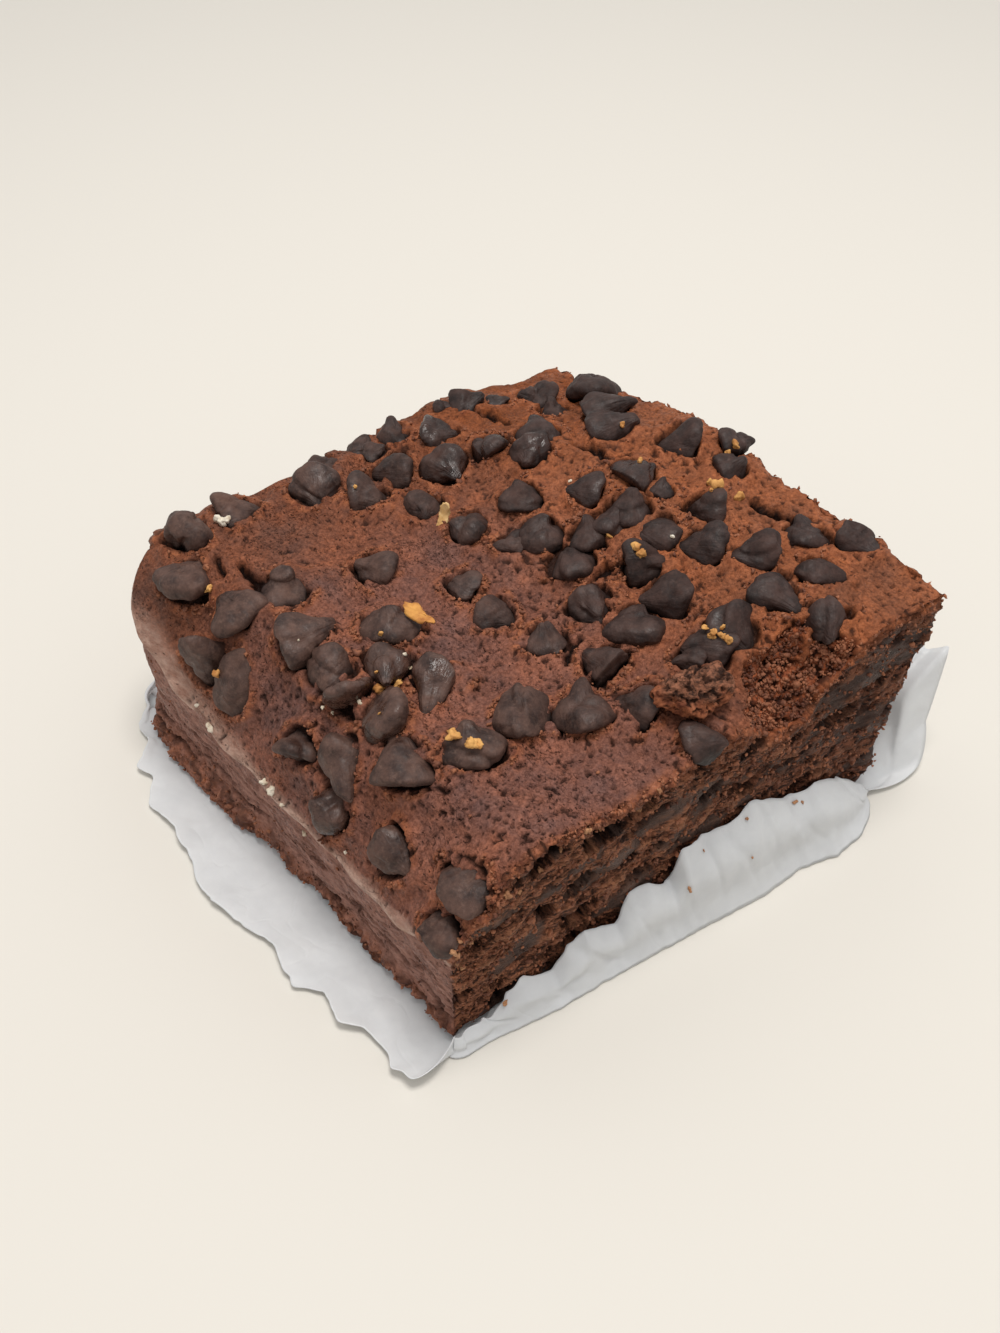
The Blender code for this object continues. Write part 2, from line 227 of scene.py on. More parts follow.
def named(name):
    """Name the piece that was just added."""
    piece = bpy.context.object
    piece.name = name
    piece.data.name = name
    return piece


def points_of(mesh):
    points = np.empty(len(mesh.vertices) * 3)
    mesh.vertices.foreach_get("co", points)
    return points.reshape(-1, 3)


def set_points(mesh, points):
    mesh.vertices.foreach_set("co", np.ascontiguousarray(points, dtype=np.float32).ravel())
    mesh.update()


def normals_of(mesh):
    normals = np.empty(len(mesh.vertices) * 3, dtype=np.float32)
    mesh.vertex_normals.foreach_get("vector", normals)
    return normals.reshape(-1, 3).astype(float)


def set_mask(mesh, name, values):
    mask = mesh.attributes.new(name, "FLOAT", "POINT")
    mask.data.foreach_set("value", np.clip(values, 0.0, 1.0).astype(np.float32))


def mask_values(piece, name):
    """A mask's value at each point of a piece."""
    values = np.empty(len(piece.data.vertices), dtype=np.float32)
    piece.data.attributes[name].data.foreach_get("value", values)
    return values


def shade(piece):
    piece.data.polygons.foreach_set("use_smooth", [True] * len(piece.data.polygons))


def face_outwards(piece):
    """Turn every face of a piece so that it points outwards."""
    edit(piece)
    bpy.ops.mesh.select_all(action="SELECT")
    bpy.ops.mesh.normals_make_consistent(inside=False)
    close_edit()


def thicken(piece, thickness, offset=-1.0):
    """Give a sheet its thickness."""
    wall = piece.modifiers.new("thickness", "SOLIDIFY")
    wall.thickness = thickness
    wall.offset = offset
    bpy.ops.object.modifier_apply(modifier=wall.name)


def settle(piece, slot, finish, *nodes):
    """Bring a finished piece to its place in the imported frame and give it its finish."""
    piece.data.transform(Matrix.Translation(FRONT_FOOT) @ Matrix.Scale(MM, 4))
    piece.data.materials.clear()
    piece.data.materials.append(finish)
    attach(piece, BODY)
    if nodes:
        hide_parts(*nodes)
    return piece


def thin_out(piece):
    """Bring a mesh under MOST_TRIANGLES triangles, where it is flattest first."""
    counted = sum(len(face.vertices) - 2 for face in piece.data.polygons)
    thinner = piece.modifiers.new("thinner", "DECIMATE")
    thinner.ratio = min(1.0, MOST_TRIANGLES / counted)
    bpy.ops.object.modifier_apply(modifier=thinner.name)


def joined_copies(name, forms, places):
    """One mesh of many copies. A form is (points, faces); a place is (form number, matrix)."""
    points, faces, count = [], [], 0
    for form, matrix in places:
        form_points, form_faces = forms[form]
        turned = form_points @ np.array(matrix.to_3x3()).T + np.array(matrix.translation)
        points.append(turned)
        faces.append(form_faces + count)
        count += len(form_points)
    mesh = bpy.data.meshes.new(name)
    all_faces = np.concatenate(faces)
    mesh.vertices.add(count)
    mesh.loops.add(all_faces.size)
    mesh.polygons.add(len(all_faces))
    mesh.vertices.foreach_set("co", np.concatenate(points).astype(np.float32).ravel())
    mesh.loops.foreach_set("vertex_index", all_faces.astype(np.int32).ravel())
    mesh.polygons.foreach_set("loop_start", np.arange(0, all_faces.size, 3, dtype=np.int32))
    mesh.update(calc_edges=True)
    mesh.validate()
    piece = bpy.data.objects.new(name, mesh)
    bpy.context.scene.collection.objects.link(piece)
    return piece


def form_of(piece):
    """The points and triangles of a small shape, which is then removed."""
    shape = bmesh.new()
    shape.from_mesh(piece.data)
    bmesh.ops.triangulate(shape, faces=shape.faces)
    shape.to_mesh(piece.data)
    shape.free()
    points = points_of(piece.data)
    faces = np.array([face.vertices[:] for face in piece.data.polygons])
    bpy.data.objects.remove(piece)
    return points, faces


# ---------------------------------------------------------------- shader helpers

def add_node(tree, kind, values=(), **settings):
    made = tree.nodes.new(kind)
    for name, value in settings.items():
        setattr(made, name, value)
    for socket, value in values:
        made.inputs[socket].default_value = value
    return made


def feed(tree, given, socket):
    """Link a socket to a given one, or set a plain value on it."""
    if isinstance(given, bpy.types.NodeSocket):
        tree.links.new(given, socket)
    else:
        socket.default_value = given


def mix_colours(tree, factor, first, second, blend="MIX"):
    """A colour mix. Each input is a socket, or a plain value."""
    mix = add_node(tree, "ShaderNodeMix", data_type="RGBA", blend_type=blend)
    feed(tree, factor, mix.inputs["Factor"])
    feed(tree, first, mix.inputs[6])
    feed(tree, second, mix.inputs[7])
    return mix.outputs[2]


def multiplied(tree, colour, factor):
    """A colour multiplied by another."""
    return mix_colours(tree, 1.0, colour, factor, "MULTIPLY")


def maths(tree, operation, *given, clamp_result=False):
    made = add_node(tree, "ShaderNodeMath", operation=operation, use_clamp=clamp_result)
    for socket, value in zip(made.inputs, given):
        feed(tree, value, socket)
    return made.outputs[0]


def spread(tree, value, low, high):
    """Stretch a value so that low gives 0 and high gives 1."""
    made = add_node(tree, "ShaderNodeMapRange", [("From Min", low), ("From Max", high)])
    tree.links.new(value, made.inputs["Value"])
    return made.outputs["Result"]


def noise_of(tree, vector, size, detail=4.0, rough=0.6, distort=0.0):
    """Fractal noise with its largest bumps `size` millimetres long."""
    made = add_node(tree, "ShaderNodeTexNoise", [
        ("Scale", 1.0 / size), ("Detail", detail), ("Roughness", rough), ("Distortion", distort)])
    tree.links.new(vector, made.inputs["Vector"])
    return made.outputs["Fac"]


def new_group(name, inputs, outputs):
    """A node group with its sockets; returns the group, its input node and its output node."""
    group = bpy.data.node_groups.new(name, "ShaderNodeTree")
    for socket, kind, default in inputs:
        made = group.interface.new_socket(socket, in_out="INPUT", socket_type=kind)
        if default is not None:
            made.default_value = default
    for socket, kind in outputs:
        group.interface.new_socket(socket, in_out="OUTPUT", socket_type=kind)
    return group, group.nodes.new("NodeGroupInput"), group.nodes.new("NodeGroupOutput")


def use_group(tree, group, vector, **values):
    made = add_node(tree, "ShaderNodeGroup", node_tree=group)
    tree.links.new(vector, made.inputs["Vector"])
    for name, value in values.items():
        feed(tree, value, made.inputs[name])
    return made


def in_millimetres(tree):
    """Object coordinates, in millimetres."""
    place = add_node(tree, "ShaderNodeTexCoord")
    scaled = add_node(tree, "ShaderNodeVectorMath", [("Scale", 1.0 / MM)], operation="SCALE")
    tree.links.new(place.outputs["Object"], scaled.inputs[0])
    return scaled.outputs["Vector"]


def start_material(name, colour, roughness):
    made = bpy.data.materials.new(name)
    made.use_nodes = True
    shader = made.node_tree.nodes["Principled BSDF"]
    shader.inputs["Base Color"].default_value = (*colour, 1.0)
    shader.inputs["Roughness"].default_value = roughness
    made.diffuse_color = (*colour, 1.0)
    return made, made.node_tree, shader


def bump(tree, shader, heights):
    """Chain bumps into the shader's normal. Each is (height socket, strength, depth in mm)."""
    last = None
    for height, strength, depth in heights:
        made = add_node(tree, "ShaderNodeBump", [("Strength", strength), ("Distance", depth * MM)])
        tree.links.new(height, made.inputs["Height"])
        if last:
            tree.links.new(last.outputs["Normal"], made.inputs["Normal"])
        last = made
    tree.links.new(last.outputs["Normal"], shader.inputs["Normal"])


def pore_group():
    """Small pits: a mask that is 1 in a pit, at some of the cells of a fine pattern."""
    group, given, put = new_group("pores", [
        ("Vector", "NodeSocketVector", None), ("Size", "NodeSocketFloat", 1.0),
        ("Width", "NodeSocketFloat", 0.3), ("Share", "NodeSocketFloat", 0.5),
    ], [("Mask", "NodeSocketFloat")])
    rough = add_node(group, "ShaderNodeTexNoise", [("Scale", 1.6), ("Detail", 2.0)])
    group.links.new(given.outputs["Vector"], rough.inputs["Vector"])
    pushed = add_node(group, "ShaderNodeVectorMath", [("Scale", 0.55)], operation="SCALE")
    group.links.new(rough.outputs["Color"], pushed.inputs[0])
    moved = add_node(group, "ShaderNodeVectorMath", operation="ADD")
    group.links.new(given.outputs["Vector"], moved.inputs[0])
    group.links.new(pushed.outputs["Vector"], moved.inputs[1])
    cells = add_node(group, "ShaderNodeTexVoronoi")
    group.links.new(moved.outputs["Vector"], cells.inputs["Vector"])
    group.links.new(maths(group, "DIVIDE", 1.0, given.outputs["Size"]), cells.inputs["Scale"])
    inside = maths(group, "DIVIDE", cells.outputs["Distance"], given.outputs["Width"])
    dip = maths(group, "SUBTRACT", 1.0, inside, clamp_result=True)
    parts = add_node(group, "ShaderNodeSeparateColor")
    group.links.new(cells.outputs["Color"], parts.inputs["Color"])
    chosen = maths(group, "LESS_THAN", parts.outputs["Red"], given.outputs["Share"])
    group.links.new(maths(group, "MULTIPLY", dip, chosen), put.inputs["Mask"])
    return group


def grain_group():
    """Baked grain: fine gritty unevenness with some longer scratches in it."""
    group, given, put = new_group("baked_grain", [
        ("Vector", "NodeSocketVector", None), ("Size", "NodeSocketFloat", 0.5),
    ], [("Height", "NodeSocketFloat")])
    scale = maths(group, "DIVIDE", 1.0, given.outputs["Size"])
    heights = []
    for factor, detail, rough in ((1.0, 5.0, 0.7), (0.35, 3.0, 0.6)):
        made = add_node(group, "ShaderNodeTexNoise", [("Detail", detail), ("Roughness", rough)])
        group.links.new(given.outputs["Vector"], made.inputs["Vector"])
        group.links.new(maths(group, "MULTIPLY", scale, factor), made.inputs["Scale"])
        heights.append(made.outputs["Fac"])
    both = maths(group, "MULTIPLY", maths(group, "ADD", *heights), 0.5)
    group.links.new(both, put.inputs["Height"])
    return group


def tone_group():
    """Two tones of one colour, in soft patches with gritty borders."""
    group, given, put = new_group("patchy_tone", [
        ("Vector", "NodeSocketVector", None), ("Size", "NodeSocketFloat", 8.0),
        ("First", "NodeSocketColor", (0.1, 0.1, 0.1, 1.0)),
        ("Second", "NodeSocketColor", (0.2, 0.2, 0.2, 1.0)),
        ("Contrast", "NodeSocketFloat", 3.0), ("Grit", "NodeSocketFloat", 0.62),
    ], [("Color", "NodeSocketColor")])
    patches = add_node(group, "ShaderNodeTexNoise", [("Detail", 6.0)])
    group.links.new(given.outputs["Grit"], patches.inputs["Roughness"])
    group.links.new(given.outputs["Vector"], patches.inputs["Vector"])
    group.links.new(maths(group, "DIVIDE", 1.0, given.outputs["Size"]), patches.inputs["Scale"])
    centred = maths(group, "SUBTRACT", patches.outputs["Fac"], 0.5)
    wide = maths(group, "MULTIPLY", centred, given.outputs["Contrast"])
    share = maths(group, "ADD", wide, 0.5, clamp_result=True)
    mixed = mix_colours(group, share, given.outputs["First"], given.outputs["Second"])
    group.links.new(mixed, put.inputs["Color"])
    return group


PORES = pore_group()
GRAIN = grain_group()
TONES = tone_group()


# ---------------------------------------------------------------- finishes

def mask_of(tree, name):
    return add_node(tree, "ShaderNodeAttribute", attribute_name=name).outputs["Fac"]


def stretched(tree, vector, scale, turn=(0.0, 0.0, 0.0)):
    made = add_node(tree, "ShaderNodeMapping", [("Scale", scale), ("Rotation", turn)])
    tree.links.new(vector, made.inputs["Vector"])
    return made.outputs["Vector"]


def patchy(tree, vector, size, contrast, grit, first, second):
    """A colour in patches, from a first one to a second."""
    made = use_group(tree, TONES, vector, Size=size, Contrast=contrast, Grit=grit,
                     First=(*first, 1.0), Second=(*second, 1.0))
    return made.outputs["Color"]


# Tones of the brownie: size of the patches, contrast, grit, first colour, second colour
BROWNIE_TONES = {
    "cool": (10.0, 3.4, 0.72, (0.275, 0.104, 0.062), (0.150, 0.074, 0.061)),
    "warm": (10.0, 3.4, 0.72, (0.318, 0.102, 0.040), (0.205, 0.075, 0.037)),
    "fine": (0.55, 4.2, 0.82, (0.56, 0.50, 0.49), (1.38, 1.37, 1.35)),
    "mottled": (4.0, 3.2, 0.70, (0.76, 0.78, 0.82), (1.20, 1.18, 1.14)),
    "tin": (1.5, 3.2, 0.80, (0.150, 0.062, 0.043), (0.430, 0.225, 0.172)),
    "lip": (1.6, 3.0, 0.75, (0.300, 0.160, 0.116), (0.600, 0.415, 0.335)),
    "cut": (0.7, 7.0, 0.80, (0.026, 0.008, 0.004), (0.410, 0.162, 0.088)),
    "smear": (1.4, 2.6, 0.62, (0.066, 0.036, 0.027), (0.170, 0.108, 0.086)),
    "torn": (1.2, 4.5, 0.72, (0.130, 0.034, 0.015), (0.460, 0.155, 0.066)),
    "opened": (1.6, 5.0, 0.76, (0.088, 0.022, 0.011), (0.400, 0.114, 0.046)),
}
FAR_END_TINT = (0.82, 0.74, 0.61, 1.0)
DARKER_CUT_TINT = (0.66, 0.64, 0.66, 1.0)
# Painted highlight: the raised crumb of the cut side made a lighter tan
PROUD_HIGHLIGHT = (0.47, 0.205, 0.108, 1.0)
PROUD_HIGHLIGHT_SHARE = 0.65
# Painted shade: the near black laid into the crust's pits and scratches
PIT_SHADE_COLOUR = (0.024, 0.008, 0.005, 1.0)
# Painted shade: the near black laid into cracks, holes, caves, slots, pits and the gaps beside chips
HOLLOW_SHADE_COLOUR = (0.012, 0.004, 0.0025, 1.0)


def brownie_colour(tree, spot, dragged):
    """The brownie's colour, before its pits: crust, tin side, lip, cut, torn and open crumb."""
    streaked = stretched(tree, spot, (1.0, 0.55, 1.5))
    ways = {"tin": streaked, "lip": streaked, "cut": dragged, "smear": dragged}
    tones = {name: patchy(tree, ways.get(name, spot), *tone) for name, tone in BROWNIE_TONES.items()}
    warm = mask_of(tree, "warm")
    baked = mix_colours(tree, warm, tones["cool"], tones["warm"])
    baked = multiplied(tree, baked, tones["mottled"])
    deeper = multiplied(tree, baked, FAR_END_TINT)
    baked = mix_colours(tree, mask_of(tree, "far_end"), baked, deeper)
    cut = mix_colours(tree, mask_of(tree, "smear"), tones["cut"], tones["smear"])
    # Painted highlight on the cut's raised crumb
    proud_highlight = maths(tree, "MULTIPLY", mask_of(tree, "proud_highlight"), PROUD_HIGHLIGHT_SHARE)
    cut = mix_colours(tree, proud_highlight, cut, PROUD_HIGHLIGHT)
    cut = mix_colours(tree, warm, cut, multiplied(tree, cut, DARKER_CUT_TINT))
    colour = multiplied(tree, baked, tones["fine"])
    for mask, over in (("tin_side", tones["tin"]), ("lip", tones["lip"]), ("cut_side", cut),
                       ("torn", tones["torn"]), ("opened", tones["opened"])):
        colour = mix_colours(tree, mask_of(tree, mask), colour, over)
    return colour


def brownie_finish():
    made, tree, shader = start_material("baked_brownie", (0.15, 0.062, 0.042), 0.72)
    spot = in_millimetres(tree)
    dragged = stretched(tree, spot, (0.30, 0.30, 1.25), (0.0, math.radians(DRAG_LEAN), 0.0))
    colour = brownie_colour(tree, spot, dragged)
    porous = spread(tree, noise_of(tree, spot, 8.0, detail=3.0), 0.36, 0.62)
    turned = stretched(tree, spot, (1.0, 0.55, 1.0), (0.0, 0.0, 0.7))
    pits = use_group(tree, PORES, spot, Size=1.1, Width=0.20,
                     Share=maths(tree, "MULTIPLY", porous, 0.5))
    small_pits = use_group(tree, PORES, turned, Size=0.55, Width=0.30,
                           Share=maths(tree, "MULTIPLY", porous, 0.7))
    wavering = noise_of(tree, turned, 1.6, detail=5.0, rough=0.65)
    off_line = maths(tree, "ABSOLUTE", maths(tree, "SUBTRACT", wavering, 0.5))
    scratch = maths(tree, "SUBTRACT", 1.0, maths(tree, "MULTIPLY", off_line, 75.0), clamp_result=True)
    scratch = maths(tree, "MULTIPLY", scratch, maths(tree, "MULTIPLY", porous, 0.45))
    # Painted shade in the pits and scratches, which also dents the bump
    shaded_pits = maths(tree, "MAXIMUM", pits.outputs["Mask"],
                 maths(tree, "MULTIPLY", small_pits.outputs["Mask"], 0.85))
    shaded_pits = maths(tree, "MAXIMUM", spread(tree, shaded_pits, 0.1, 0.6), scratch)
    calm = maths(tree, "MULTIPLY", mask_of(tree, "warm"), 0.6)
    shaded_pits = maths(tree, "MULTIPLY", shaded_pits, maths(tree, "SUBTRACT", 1.0, calm))
    colour = mix_colours(tree, maths(tree, "MULTIPLY", shaded_pits, 0.76), colour, PIT_SHADE_COLOUR)
    # Painted shade in the brownie's hollows
    colour = mix_colours(tree, mask_of(tree, "hollow_shade"), colour, HOLLOW_SHADE_COLOUR)
    tree.links.new(colour, shader.inputs["Base Color"])
    grain = use_group(tree, GRAIN, spot, Size=0.5)
    gloss = use_group(tree, GRAIN, spot, Size=1.2)
    tree.links.new(spread(tree, gloss.outputs["Height"], 0.72, 0.28), shader.inputs["Roughness"])
    shader.inputs["Specular IOR Level"].default_value = 0.12
    streaks = use_group(tree, GRAIN, dragged, Size=0.4)
    on_cut = maths(tree, "MULTIPLY", streaks.outputs["Height"], mask_of(tree, "cut_side"))
    bump(tree, shader, [(on_cut, 1.0, 1.0), (grain.outputs["Height"], 1.0, 0.45),
                        (maths(tree, "SUBTRACT", 1.0, shaded_pits), 0.9, 0.28)])
    return made


CHIP_DUST = (0.21, 0.125, 0.092, 1.0)
DARKER_CHIP_TINT = (0.46, 0.42, 0.44, 1.0)
# Painted contact shade: the near black a chip is darkened to where it meets the crust
CONTACT_SHADE_COLOUR = (0.010, 0.004, 0.003, 1.0)


def chip_finish():
    made, tree, shader = start_material("dark_chocolate", (0.07, 0.047, 0.040), 0.42)
    spot = in_millimetres(tree)
    tone = patchy(tree, spot, 3.2, 3.4, 0.66, (0.026, 0.011, 0.008), (0.112, 0.058, 0.043))
    dust = use_group(tree, GRAIN, spot, Size=0.4)
    dusty = maths(tree, "MULTIPLY", spread(tree, dust.outputs["Height"], 0.52, 0.70), 0.32)
    colour = mix_colours(tree, dusty, tone, CHIP_DUST)
    darker = multiplied(tree, colour, DARKER_CHIP_TINT)
    colour = mix_colours(tree, mask_of(tree, "darker"), colour, darker)
    # Painted contact shade at the chip's foot
    colour = mix_colours(tree, mask_of(tree, "painted_contact_shade"), colour, CONTACT_SHADE_COLOUR)
    tree.links.new(colour, shader.inputs["Base Color"])
    sheen = use_group(tree, GRAIN, spot, Size=2.2)
    moist = spread(tree, sheen.outputs["Height"], 0.62, 0.46)
    wet = maths(tree, "MULTIPLY", mask_of(tree, "wet"), moist)
    dull = spread(tree, sheen.outputs["Height"], 0.18, 0.68)
    gloss = maths(tree, "SUBTRACT", dull, maths(tree, "MULTIPLY", wet, 0.30))
    tree.links.new(gloss, shader.inputs["Roughness"])
    shader.inputs["Specular IOR Level"].default_value = 0.42
    around = add_node(tree, "ShaderNodeUVMap")
    ridges = stretched(tree, around.outputs["UV"], (22.0, 2.0, 1.0))
    lines = add_node(tree, "ShaderNodeTexNoise", [("Scale", 1.0), ("Detail", 4.0)])
    tree.links.new(ridges, lines.inputs["Vector"])
    soft = noise_of(tree, spot, 1.2, detail=4.0)
    bump(tree, shader, [(lines.outputs["Fac"], 0.45, 0.4), (soft, 0.5, 0.4),
                        (dust.outputs["Height"], 0.5, 0.10)])
    return made


def crumb_finish(name, first, second):
    made, tree, shader = start_material(name, first, 0.75)
    spot = in_millimetres(tree)
    tone = patchy(tree, spot, 2.4, 4.0, 0.62, first, second)
    tree.links.new(tone, shader.inputs["Base Color"])
    grain = use_group(tree, GRAIN, spot, Size=0.3)
    bump(tree, shader, [(grain.outputs["Height"], 0.7, 0.15)])
    return made


def paper_finish():
    made, tree, shader = start_material("greaseproof_paper", (0.70, 0.705, 0.71), 0.5)
    spot = in_millimetres(tree)
    tone = patchy(tree, spot, 5.0, 1.8, 0.62, (0.625, 0.64, 0.66), (0.71, 0.725, 0.74))
    tree.links.new(tone, shader.inputs["Base Color"])
    shader.inputs["Subsurface Weight"].default_value = 0.15
    shader.inputs["Subsurface Radius"].default_value = (0.002, 0.002, 0.002)
    shader.inputs["Subsurface Scale"].default_value = 1.0
    fibres = use_group(tree, GRAIN, spot, Size=0.6)
    buckle = noise_of(tree, spot, 6.0, detail=2.0)
    crinkled = noise_of(tree, spot, 9.0, detail=2.0, rough=0.5, distort=0.6)
    off_line = maths(tree, "ABSOLUTE", maths(tree, "SUBTRACT", crinkled, 0.5))
    crease = maths(tree, "MINIMUM", maths(tree, "MULTIPLY", off_line, 8.0), 0.35)
    bump(tree, shader, [(buckle, 0.4, 0.8), (crease, 0.25, 0.25), (fibres.outputs["Height"], 0.2, 0.06)])
    return made


BROWNIE = brownie_finish()
CHOCOLATE = chip_finish()
PAPER = paper_finish()
GOLDEN = crumb_finish("golden_crumb", (0.42, 0.17, 0.040), (0.74, 0.40, 0.12))
AMBER = crumb_finish("amber_flake", (0.36, 0.12, 0.022), (0.70, 0.33, 0.075))
PALE_GOLD = crumb_finish("pale_golden_flake", (0.72, 0.43, 0.16), (0.86, 0.62, 0.32))
CREAM = crumb_finish("cream_fleck", (0.56, 0.44, 0.30), (0.82, 0.76, 0.64))
TAN = crumb_finish("tan_crumb", (0.27, 0.115, 0.050), (0.50, 0.25, 0.12))
LOOSE_CRUMB = crumb_finish("loose_crumb", (0.110, 0.033, 0.016), (0.36, 0.132, 0.061))


# ---------------------------------------------------------------- chips

CHIP_WIDTH = 7.5
CHIP_HEIGHT = 5.8
CHIP_MIDDLE = 0.4
CHIP_RISE = 0.9
CHIP_TIP_BEND = 0.9
CHIP_ROUND = 52
CHIP_RINGS = 36
CHIP_FOLDS = 2
CHIP_PRESSED = 2
NODE_CHIP_SEED = 100
FURTHER_CHIP_SEED = 300
# Painted contact shade on the chips: near black at their foot, fading out above the crust
CONTACT_SHADE_HEIGHT = 0.6
CONTACT_SHADE_FADE = 1.9
# Where along the slab the chips begin to be darker, and over what length
DARKER_FROM = 12.0
DARKER_FADE = 45.0
# How wide a chip is (in widths) at heights above its base (in heights)
CHIP_OUTLINE = ((0.0, 0.0), (0.24, 0.0), (0.40, 0.012), (0.47, 0.055), (0.50, 0.13), (0.498, 0.22),
                (0.47, 0.33), (0.41, 0.45), (0.33, 0.57), (0.25, 0.685), (0.185, 0.785),
                (0.145, 0.87), (0.11, 0.94), (0.06, 0.99), (0.0, 1.0))
# Chips whose tips have melted away, and how far
MELTED_CHIPS = {
    "chip_01": 0.25, "chip_03": 0.40, "chip_05": 0.22, "chip_07": 0.30, "chip_09": 0.25,
    "chip_10": 0.30, "chip_11": 0.15, "chip_12": 0.38, "chip_15": 0.20, "chip_16": 0.22,
    "chip_20": 0.25, "chip_29": 0.30, "chip_30": 0.20, "chip_35": 0.25, "chip_38": 0.25,
    "chip_39": 0.20, "chip_43": 0.12, "chip_44": 0.20, "chip_47": 0.10, "chip_50": 0.25,
    "chip_56": 0.30,
}
CHIP_SINK = 0.35
# Chips drawn out along their axis or pressed thin, or raised: along, across, millimetres up
CHIP_FORMS = {
    "chip_01": (1.45, 0.95, 0.8), "chip_02": (1.1, 0.9, -0.2), "chip_03": (1.15, 1.0, 1.3),
    "chip_04": (0.82, 1.12, 0.2), "chip_05": (1.25, 1.08, 0.5), "chip_06": (1.1, 1.28, 1.3),
    "chip_07": (1.0, 1.05, 0.6), "chip_08": (1.25, 0.95, 0.2), "chip_10": (0.9, 1.15, 0.4),
    "chip_11": (1.0, 1.15, 0.3), "chip_12": (1.2, 1.0, 0.6), "chip_13": (1.45, 0.92, 0.3),
    "chip_22": (1.2, 1.15, 0.3), "chip_23": (1.1, 1.08, 0.2), "chip_25": (1.1, 1.15, 0.3),
    "chip_26": (1.25, 1.1, 0.3), "chip_27": (1.15, 0.95, 0.3), "chip_31": (1.15, 0.85, -0.4),
    "chip_32": (1.1, 0.9, 0.0), "chip_34": (1.0, 0.9, 0.0), "chip_35": (1.15, 0.9, 0.0),
    "chip_45": (1.2, 1.0, 0.2), "chip_56": (1.2, 1.2, 1.8), "further_chip_01": (1.5, 0.82, 0.5),
}
# Chips whose tip has set in a small ball, with its half width; and chips that shine as if wet
KNOBBED_CHIPS = {"chip_04": 1.85}
WET_CHIPS = ("chip_10", "chip_12", "chip_13", "chip_40", "chip_41", "chip_52", "chip_53", "chip_54",
             "further_chip_01", "further_chip_02", "further_chip_18")

# Chips that lie among the others: x, y, facing, lean, width, and how far raised
FURTHER_CHIPS = (
    (15.3, 34.3, -130, 62, 7.4), (0.5, 26.0, -105, 60, 7.0), (2.5, 14.5, -105, 70, 7.5),
    (1.0, 3.5, 140, 60, 6.5), (40.0, -1.5, -40, 50, 7.0), (50.5, 8.5, 140, 60, 8.0),
    (64.0, 33.5, 50, 20, 4.0), (43.0, 42.5, 140, 60, 5.0), (51.5, 34.5, 50, 30, 6.5),
    (55.0, 34.0, 30, 30, 6.0), (45.0, 76.5, 50, 30, 6.5), (39.0, 78.0, 50, 40, 6.0),
    (40.0, 74.0, -40, 40, 4.5), (59.0, 74.5, -40, 50, 7.0), (63.5, 71.5, -40, 40, 4.5),
    (70.5, 70.5, 140, 50, 7.5), (69.5, 64.0, 50, 35, 6.0), (56.0, 54.0, -130, 60, 7.5),
    (73.5, 56.0, -40, 30, 9.5, 1.0), (70.0, 50.5, -40, 40, 8.5, 0.6), (81.0, 34.5, -40, 60, 6.5),
    (32.5, 77.5, 0, 60, 6.0), (55.0, 76.0, -40, 60, 4.0), (47.0, 9.0, 140, 60, 5.0),
)


def to_slab(point):
    """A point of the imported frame, in the slab's own frame and millimetres."""
    return (Vector(point) - FRONT_FOOT) / MM


def chip_place_from_node(node):
    """Where a packed chip sits: a matrix with its base at zero, its tip up and its width as scale."""
    corners = [to_slab(vertex.co) for vertex in node.data.vertices]
    areas = {}
    for face in node.data.polygons:
        direction = tuple(round(part, 1) for part in face.normal)
        areas.setdefault(direction, []).append(face)
    base = max(areas.values(), key=lambda faces: sum(face.area for face in faces))
    down = sum((face.normal * face.area for face in base), Vector()).normalized()
    rim = [corners[index] for face in base for index in face.vertices]
    rim = np.array([tuple(corner) for corner in rim])
    middle = Vector((rim.max(0) + rim.min(0)) / 2.0)
    tip = max(corners, key=lambda corner: (corner - middle).dot(-down))
    rise = (tip - middle).dot(-down)
    size = rise / CHIP_HEIGHT
    bend = ((tip - middle) + down * rise).normalized()
    up = -down
    side = up.cross(bend)
    turn = Matrix((bend, side, up)).transposed().to_4x4()
    return Matrix.Translation(middle - Vector((0.0, 0.0, CHIP_SINK))) @ turn @ Matrix.Scale(size, 4)


def chip_place(x, y, facing, lean, width, raised=0.0):
    """Where a further chip sits, in the same way."""
    size = width / CHIP_WIDTH
    height = float(crust_height(np.array([x]), np.array([y]))[0]) + CHIP_RISE - CHIP_SINK + raised
    turn = Matrix.Rotation(math.radians(facing), 4, "Z")
    tipped = Matrix.Rotation(math.radians(lean), 4, "Y")
    sunk = Matrix.Translation((0.0, 0.0, -CHIP_MIDDLE * CHIP_HEIGHT * size))
    return (Matrix.Translation((x, y, height)) @ turn @ tipped @ sunk
            @ Matrix.Scale(size, 4))


def chip_outline(up):
    """How far out a chip's skin is, in millimetres, at shares of its height."""
    outs, heights = zip(*CHIP_OUTLINE[1:])
    return np.interp(up, heights, outs) * CHIP_WIDTH


def eased_outline(share):
    """A chip's half width and height along its outline, with the outline's corners eased."""
    steps = np.linspace(0.0, 1.0, 241)
    given = np.linspace(0.0, 1.0, len(CHIP_OUTLINE))
    window = np.ones(13) / 13.0
    lines = []
    for values in zip(*CHIP_OUTLINE):
        padded = np.pad(np.interp(steps, given, values), 6, mode="reflect", reflect_type="odd")
        lines.append(np.interp(share, steps, np.convolve(padded, window, mode="valid")))
    return lines


